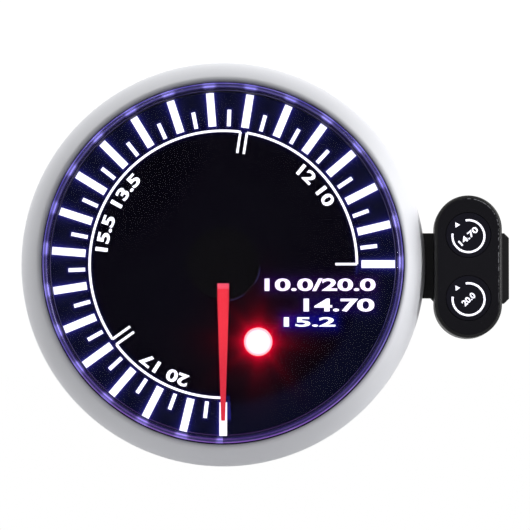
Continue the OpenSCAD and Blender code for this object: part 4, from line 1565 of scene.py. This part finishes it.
@dataclass
class Dial:
    """Everything lit behind the lens, in metres.

    Attributes:
        scale: Sizes of the scale.
        face: Height of the mask's face in front of the panel.
        text_in: Inner radius of the digits along the scale.
        text_h: Height of the digits along the scale.
        plate: Thickness of the digits' plates.
        proud: How far the digits stand over the mask.
        arcs: Digits along the scale.
        arc_weight: How much their strokes are thickened.
        lines: Digits on straight lines.
        line_weight: How much their strokes are thickened.
    """

    scale: Scale = field(default_factory=Scale)
    face: float = 4.55 * MM
    text_in: float = 19.4 * MM
    text_h: float = 2.1 * MM
    plate: float = 0.05 * MM
    proud: float = 0.02 * MM
    arcs: Sequence[ArcText] = (
        ArcText("digits_low", "20 17", 16.7, 41.2),
        ArcText("digits_middle", "15.5 13.5", 96.0, 135.5),
        ArcText("digits_high", "12 10", 218.6, 241.0),
    )
    arc_weight: float = 0.03
    lines: Sequence[LineText] = (
        LineText(
            "digits_line_1", "10.0/20.0", 6.9, 25.4, -2.4, -4.5,
            shown(250, 226, 255), shown(60, 20, 110), 0.22,
        ),
        LineText(
            "digits_line_2", "14.70", 13.4, 25.2, -5.75, -7.95,
            shown(252, 240, 255), shown(40, 16, 120), 0.22,
        ),
        LineText(
            "digits_line_3", "15.2", 10.1, 18.7, -8.85, -10.45,
            shown(244, 246, 255), shown(10, 14, 190), 0.3,
        ),
    )
    line_weight: float = 0.028

    @property
    def text_y(self) -> float:
        """Place of the middle of the digits' plates on the Y axis."""
        return -(self.face + self.proud - self.plate / 2)

    def build(self, bench: Bench) -> None:
        """Makes the digits and dresses the layers of the dial.

        Args:
            bench: The bench.
        """
        acrylic = Moulded("guide_acrylic", shown(214, 226, 240), 0.12, 2 * MM, 0.001 * MM, 0.03)
        bench.dress_all((
            (DialPrint(self.scale, self.lines), "dial_mask"),
            (Lit("diffuser_opal_lit", shown(236, 236, 244), WHITE, 1.12, 0.03), "dial_diffuser"),
            (acrylic, "light_guide"),
            (Moulded("white_moulding", shown(226, 226, 222)), "light_tray", "peak_led_sleeve"),
            (Moulded("retainer_black", shown(12, 11, 16), 0.6, specular=0.15), "dial_retainer"),
            (LampWindow(self.scale.lamp, self.scale.lamp_r), "peak_window"),
            (Lit("lamp_body_red", shown(196, 60, 72), shown(255, 40, 70), 0.6), "peak_led"),
            (Lit("lamp_body_white", shown(240, 236, 208), COOL_LIGHT, 0.4), "dial_leds", "needle_leds"),
        ))
        white = Lit("digit_light", PALE, WHITE, 1.1, 0.03)
        for row in self.arcs:
            bench.piece(row.name, self.bent(row), white, "housing")
        for line in self.lines:
            tone = Lit(f"{line.name}_light", PALE, line.light, 1.05, 0.08)
            bench.piece(line.name, self.straight(line), tone, "housing")

    def bent(self, row: ArcText) -> bmesh.types.BMesh:
        """Digits bent along the scale.

        Args:
            row: What they say and where they lie.

        Returns:
            Their plate, in its place.
        """
        middle_r = self.text_in + self.text_h / 2
        length = math.radians(row.end - row.start) * middle_r
        shape = lettering(row.text, self.arc_weight, (length, self.text_h), self.plate)
        middle = math.radians((row.start + row.end) / 2)
        for vert in shape.verts:
            angle = middle + vert.co.x / middle_r
            out = middle_r + vert.co.y
            vert.co = Vector((-out * math.sin(angle), self.text_y - vert.co.z, -out * math.cos(angle)))
        return shape

    def straight(self, line: LineText) -> bmesh.types.BMesh:
        """Digits on a straight line.

        Args:
            line: What they say and where they lie.

        Returns:
            Their plate, in its place.
        """
        shape = lettering(line.text, self.line_weight, line.size, self.plate)
        stand_up(shape, Vector((line.middle[0], self.text_y, line.middle[1])))
        return shape


@dataclass
class Needle:
    """Needle, hub and the geared drive behind the dial."""

    def build(self, bench: Bench) -> None:
        """Dresses the needle and its drive.

        Args:
            bench: The bench.
        """
        satin = Moulded("cap_satin_black", shown(7, 6, 9), 0.6, 0.3 * MM, 0.003 * MM, specular=0.02)
        bright = Metal("arbor_bright", shown(196, 198, 202), 0.22, Lay.ROUND)
        acetal = Moulded("wheel_acetal_white", shown(236, 234, 226), 0.38, 0.5 * MM, 0.002 * MM, 0.04)
        magnet = Moulded("magnet_sintered", shown(58, 54, 52), 0.6, 0.12 * MM, 0.01 * MM, 0.2)
        case = Moulded("motor_black_moulding", shown(34, 34, 37), 0.55)
        tinned = Metal("pin_tinned", shown(206, 206, 200), 0.28, Lay.DEPTH)
        bench.dress_all((
            (NeedleRed(), "needle_pointer"),
            (satin, "needle_cap"),
            (Moulded("hub_black", shown(38, 38, 42)), "needle_hub"),
            (bright, "output_shaft", "intermediate_pinion", "rotor_pinion"),
            (acetal, "output_wheel", "intermediate_wheel"),
            (magnet, "rotor_magnet"),
            (Metal("core_stamped", shown(148, 150, 154), 0.4), "stator_core"),
            (case, "coil_bobbins", "motor_case_front", "motor_case_rear"),
            (Winding(), "coil_windings"),
            (tinned, "motor_pins", "socket_pins"),
        ))


@dataclass
class Studs:
    """The two threaded studs at the back, in metres.

    Attributes:
        spacing: Distance between the studs.
        head_r: Radius of the six-sided head over its corners.
        head: Depth behind the panel at which the head starts.
        seat: Depth at which the head ends and the collar starts.
        collar_r: Radius of the collar.
        collar: Depth at which the collar ends.
        rod_r: Radius over the thread.
        core_r: Radius of the core.
        plain: Depth at which the thread starts.
        tip: Depth of the tip.
        pitch: Pitch of the thread.
        foot: Half the width of the thread's foot over its pitch.
        crest: Half the width of the thread's crest.
        bite: How deep the thread's foot lies in the core.
        steps: Number of steps in a turn.
    """

    spacing: float = 36.0 * MM
    head_r: float = 3.5 * MM
    head: float = 21.8 * MM
    seat: float = 24.0 * MM
    collar_r: float = 2.4 * MM
    collar: float = 26.4 * MM
    rod_r: float = 2.0 * MM
    core_r: float = 1.64 * MM
    plain: float = 27.4 * MM
    tip: float = 42.0 * MM
    pitch: float = 0.7 * MM
    foot: float = 0.44
    crest: float = 0.05 * MM
    bite: float = 0.02 * MM
    steps: int = 24

    def build(self, bench: Bench) -> None:
        """Makes both studs as one piece.

        Args:
            bench: The bench.
        """
        shape = turned(self.profile(), 2 * self.steps, False)
        self.add_thread(shape)
        self.add_head(shape)
        bmesh.ops.recalc_face_normals(shape, faces=shape.faces)
        first = shape.verts[:]
        twin = bmesh.ops.duplicate(shape, geom=[*shape.verts, *shape.edges, *shape.faces])
        second = only(twin["geom"], bmesh.types.BMVert)
        for verts, side in ((first, -1), (second, 1)):
            bmesh.ops.translate(shape, verts=verts, vec=(side * self.spacing / 2, 0, 0))
        zinc = Metal("stud_zinc", shown(186, 188, 190), 0.3, Lay.ROUND)
        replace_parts(bench.piece("threaded_studs", shape, zinc, "housing"), "clamp_studs")

    def profile(self) -> list[Point]:
        """Profile of collar, shank and core, with a chamfered tip.

        Returns:
            Points as radius and height, which is below zero behind the panel.
        """
        chamfer = self.rod_r - self.core_r
        rows = (
            (0.0, self.seat),
            (self.collar_r, self.seat),
            (self.collar_r, self.collar),
            (self.rod_r, self.collar),
            (self.rod_r, self.plain - chamfer),
            (self.core_r, self.plain),
            (self.core_r, self.tip - chamfer),
            (self.core_r - chamfer, self.tip),
            (0.0, self.tip),
        )
        return [(radius, -depth) for radius, depth in rows]

    def add_thread(self, shape: bmesh.types.BMesh) -> None:
        """Winds the thread's ridge round the core.

        Args:
            shape: The stud, round the Y axis.
        """
        root_r, half = self.core_r - self.bite, self.pitch * self.foot
        corners = ((root_r, -half), (self.rod_r, -self.crest), (self.rod_r, self.crest), (root_r, half))
        start = self.plain + self.pitch / 2
        verts = [shape.verts.new((radius, start + along, 0.0)) for radius, along in corners]
        face = shape.faces.new(verts)
        turns = int((self.tip - self.plain) / self.pitch) - 1
        grown = bmesh.ops.spin(
            shape, geom=[*verts, *face.edges], cent=(0, 0, 0), axis=(0, 1, 0),
            dvec=(0, self.pitch / self.steps, 0), angle=turns * FULL_TURN, steps=turns * self.steps,
        )
        bmesh.ops.contextual_create(shape, geom=only(grown["geom_last"], bmesh.types.BMEdge))

    def add_head(self, shape: bmesh.types.BMesh) -> None:
        """Adds the six-sided head.

        Args:
            shape: The stud, round the Y axis.
        """
        along = Matrix.Rotation(math.pi / 2, 4, "X") @ Matrix.Rotation(math.pi / 2, 4, "Z")
        middle = Matrix.Translation((0, (self.seat + self.head) / 2, 0))
        bmesh.ops.create_cone(
            shape, cap_ends=True, segments=6, radius1=self.head_r, radius2=self.head_r,
            depth=self.seat - self.head, matrix=middle @ along,
        )


@dataclass
class Housing:
    """Can, rear cover, boards and sockets."""

    def build(self, bench: Bench) -> None:
        """Dresses the housing and the boards.

        Args:
            bench: The bench.
        """
        black = Moulded("housing_black_grain", shown(30, 30, 33), 0.55, 0.35 * MM, 0.014 * MM, 0.15)
        zinc = Metal("screw_zinc", shown(188, 190, 194), 0.26, Lay.ROUND)
        epoxy = Moulded("chip_epoxy", shown(26, 26, 28), 0.6, 0.15 * MM, cloud=0.1)
        nylon = Moulded("socket_nylon", shown(224, 220, 208), 0.45, 0.3 * MM, 0.005 * MM, 0.05)
        bench.dress_all((
            (black, "body_can", "rear_cover"),
            (zinc, "rear_screws", "board_screws", "bracket_screws", "pod_screws"),
            (Board(), "main_board", "interface_board", "pod_board"),
            (epoxy, "main_board_chips", "regulator", "board_header", "buzzer"),
            (Metal("spacer_brass_turned", shown(206, 168, 92), 0.25, Lay.ROUND), "board_spacers"),
            (Metal("can_drawn", shown(186, 188, 192), 0.3, Lay.DEPTH), "capacitors"),
            (nylon, "power_socket", "sensor_socket", "pod_socket"),
        ))


@dataclass
class Pod:
    """Bracket, pod and the signs on its two buttons, in metres.

    Attributes:
        sign_r: Radius of a sign's ring.
        sign_w: Width of a sign's line.
        plate: Thickness of a sign.
        proud: How far a sign stands over the button.
        sink: How far a sign lies below the button's middle.
        gap_from: Where the ring stops, in degrees counter-clockwise from the right.
        gap_to: Where the ring starts again.
        head: Size of the arrow's head.
        head_turn: Turn of the arrow's head in radians.
        steps: Number of steps in the ring.
        text_h: Height of a sign's digits.
        weight: How much their strokes are thickened.
        tilt: Their slope in degrees.
        signs: Body, node, digits and width of the digits of each button.
    """

    sign_r: float = 2.66 * MM
    sign_w: float = 0.33 * MM
    plate: float = 0.05 * MM
    proud: float = 0.02 * MM
    sink: float = 0.2 * MM
    gap_from: float = 100.0
    gap_to: float = 171.0
    head: float = 0.52 * MM
    head_turn: float = 2.4
    steps: int = 72
    text_h: float = 1.05 * MM
    weight: float = 0.03
    tilt: float = 43.0
    signs: Sequence[tuple[str, str, str, float]] = (
        ("peak_key", "peak_button", "14.70", 3.85 * MM),
        ("recall_key", "recall_button", "20.0", 2.5 * MM),
    )

    def build(self, bench: Bench) -> None:
        """Makes the signs and dresses the pod.

        Args:
            bench: The bench.
        """
        low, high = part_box("pod_film")
        radius = (high.x - low.x) / 2
        middle = ((low.x + high.x) / 2, (low.z + high.z) / 2)
        matt = Moulded("pod_black_matt", shown(11, 11, 13), 0.42, 0.22 * MM, cloud=0.15, specular=0.25)
        keys = Moulded("key_black", shown(10, 9, 20), 0.5, 0.18 * MM, 0.004 * MM, 0.25, 0.09)
        coat = Moulded("bracket_black_coat", shown(9, 9, 12), 0.5, 0.3 * MM, 0.01 * MM, 0.15, 0.2)
        switch = Moulded("switch_moulding", shown(142, 143, 148), 0.45)
        bench.dress_all((
            (matt, "pod_shell", "pod_back"),
            (keys, "peak_button", "recall_button"),
            (FilmSheet(middle, radius, (high.z - low.z) / 2 - radius), "pod_film"),
            (coat, "pod_bracket"),
            (Moulded("grommet_rubber", shown(28, 28, 30), 0.8), "pod_grommet"),
            (Lit("pod_lamp_white", shown(240, 236, 214), COOL_LIGHT, 0.3), "pod_leds"),
            (switch, "switch_housings", "peak_plunger", "recall_plunger"),
        ))
        light = Lit("sign_light", PALE, shown(236, 234, 250), 1.0, 0.12)
        for body, node, text, width in self.signs:
            low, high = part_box(node)
            front = low.y - self.proud + self.plate / 2
            centre = Vector(((low.x + high.x) / 2, front, (low.z + high.z) / 2 - self.sink))
            bench.piece(f"{node}_ring", self.ring(centre), light, body)
            digits = lettering(text, self.weight, (width, self.text_h), self.plate)
            stand_up(digits, centre, math.radians(self.tilt))
            bench.piece(f"{node}_digits", digits, light, body)

    def ring(self, centre: Vector) -> bmesh.types.BMesh:
        """Open ring with an arrow's head in its gap.

        Args:
            centre: Centre of the sign.

        Returns:
            The sign's plate, in its place.
        """
        shape = bmesh.new()
        start = Vector((math.cos(math.radians(self.gap_to)), math.sin(math.radians(self.gap_to)), 0.0))
        ends = [shape.verts.new(start * (self.sign_r + side * self.sign_w / 2)) for side in (-1, 1)]
        line = shape.edges.new(ends)
        sweep = math.radians(360 - (self.gap_to - self.gap_from))
        bmesh.ops.spin(
            shape, geom=[*ends, line], cent=(0, 0, 0), axis=(0, 0, 1), angle=sweep, steps=self.steps
        )
        middle = math.radians((self.gap_from + self.gap_to) / 2)
        spot = Matrix.Translation((self.sign_r * math.cos(middle), self.sign_r * math.sin(middle), 0.0))
        turn = Matrix.Rotation(middle + self.head_turn, 4, "Z")
        bmesh.ops.create_circle(shape, cap_ends=True, segments=3, radius=self.head, matrix=spot @ turn)
        bmesh.ops.recalc_face_normals(shape, faces=shape.faces)
        grown = bmesh.ops.extrude_face_region(shape, geom=shape.faces[:])
        top = only(grown["geom"], bmesh.types.BMVert)
        bmesh.ops.translate(shape, verts=top, vec=(0, 0, self.plate))
        bmesh.ops.translate(shape, verts=shape.verts, vec=(0, 0, -self.plate / 2))
        bmesh.ops.recalc_face_normals(shape, faces=shape.faces)
        stand_up(shape, centre)
        return shape


@dataclass(frozen=True)
class Lamp:
    """Soft lamp of the studio, square or with a round beam.

    Attributes:
        name: Name of the lamp.
        place: Where it hangs.
        power: Its power in watts.
        size: Side of a square lamp, or radius of one with a beam.
        aim: Where it points.
        beam: Width of its beam in degrees, or 0 for a square lamp.
    """

    name: str
    place: Place
    power: float
    size: float
    aim: Place = (0.0, 0.0, 0.0)
    beam: float = 0.0

    def build(self) -> None:
        """Hangs the lamp and aims it."""
        data = bpy.data.lights.new(self.name, "SPOT" if self.beam else "AREA")
        data.energy = self.power
        if self.beam:
            data.spot_size = math.radians(self.beam)
            data.spot_blend = 1.0
            data.shadow_soft_size = self.size
        else:
            data.size = self.size
        aimed(placed(self.name, data), Vector(self.place), Vector(self.aim))


@dataclass
class Studio:
    """Camera, backdrop, floor and lamps, in metres.

    Attributes:
        aim: Point that the camera looks at.
        distance: Distance from the camera to that point.
        elevation: Height of the camera over the horizon in degrees.
        lens: Focal length in millimetres.
        sensor: Width of the sensor in millimetres.
        near: Nearest distance that the camera sees.
        floor: Height of the floor.
        floor_sides: Number of sides of the round floor.
        front_light: Level of the diffuse light from the camera's side.
        back_light: Level of the diffuse light from behind the object.
        depth_turn: Directions along Y between which one becomes the other.
        below: Share of that light which comes from below.
        height_turn: Directions along Z between which the whole light sets in.
        lamps: The lamps.
    """

    aim: Place = (6.98 * MM, -4.55 * MM, -0.15 * MM)
    distance: float = 0.8
    elevation: float = -2.5
    lens: float = 325.0
    sensor: float = 36.0
    near: float = 0.01
    floor: float = -0.047
    floor_sides: int = 96
    front_light: float = 0.03
    back_light: float = 1.1
    depth_turn: Span = (-0.2, 0.2)
    below: float = 0.25
    height_turn: Span = (-0.45, 0.15)
    lamps: Sequence[Lamp] = (
        Lamp("key", (0.38, -0.04, 0.24), 1.2, 0.30),
        Lamp("top_left_fill", (-0.24, -0.02, 0.38), 0.85, 0.30),
        Lamp("side_accent", (0.22, -0.19, 0.01), 3.0, 0.02, (34 * MM, -6 * MM, 0.0), 9.0),
    )

    def build(self) -> None:
        """Sets up camera, world, floor and lamps."""
        self.camera()
        self.world()
        self.paper()
        for lamp in self.lamps:
            lamp.build()
        bpy.context.scene.view_settings.view_transform = "Standard"

    def camera(self) -> None:
        """Makes the camera at the photograph's angle."""
        data = bpy.data.cameras.new("camera")
        data.lens = self.lens
        data.sensor_width = self.sensor
        data.clip_start = self.near
        made = placed("camera", data)
        up = math.radians(self.elevation)
        back = Vector((0.0, -math.cos(up), math.sin(up)))
        aimed(made, Vector(self.aim) + back * self.distance, Vector(self.aim))
        bpy.context.scene.camera = made

    def world(self) -> None:
        """Makes the white backdrop, with less diffuse light from the camera's side and from below."""
        graph = Graph("studio", world=True)
        rays = graph.node("ShaderNodeLightPath").outputs
        seen = Value(graph, rays["Is Camera Ray"])
        for name in ("Is Glossy Ray", "Is Transmission Ray"):
            seen = seen.most(Value(graph, rays[name]))
        depth = graph.y.rise(*self.depth_turn).spread(self.front_light, self.back_light)
        height = graph.z.rise(*self.height_turn).spread(self.below, 1.0)
        inputs = {"Color": WHITE, "Strength": seen.most(depth * height)}
        backdrop = graph.node("ShaderNodeBackground", None, inputs)
        graph.node("ShaderNodeOutputWorld", None, {"Surface": backdrop.outputs[0]})
        bpy.context.scene.world = graph.owner

    def paper(self) -> None:
        """Makes the floor."""
        style = FloorPaper()
        shape = bmesh.new()
        bmesh.ops.create_circle(
            shape, cap_ends=True, segments=self.floor_sides, radius=style.edge,
            matrix=Matrix.Translation((0, 0, self.floor)),
        )
        mesh = bpy.data.meshes.new("floor")
        shape.to_mesh(mesh)
        shape.free()
        mesh.materials.append(style.material())
        made = placed("floor", mesh)


def main() -> None:
    """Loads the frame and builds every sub-assembly."""
    logging.basicConfig(level=logging.INFO, format="%(name)s: %(message)s")
    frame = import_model()
    Studio().build()
    bench = Bench(frame)
    dial = Dial()
    dial.build(bench)
    Rim().build(bench, dial.scale)
    Needle().build(bench)
    Housing().build(bench)
    Studs().build(bench)
    Pod().build(bench)


if __name__ == "__main__":
    main()
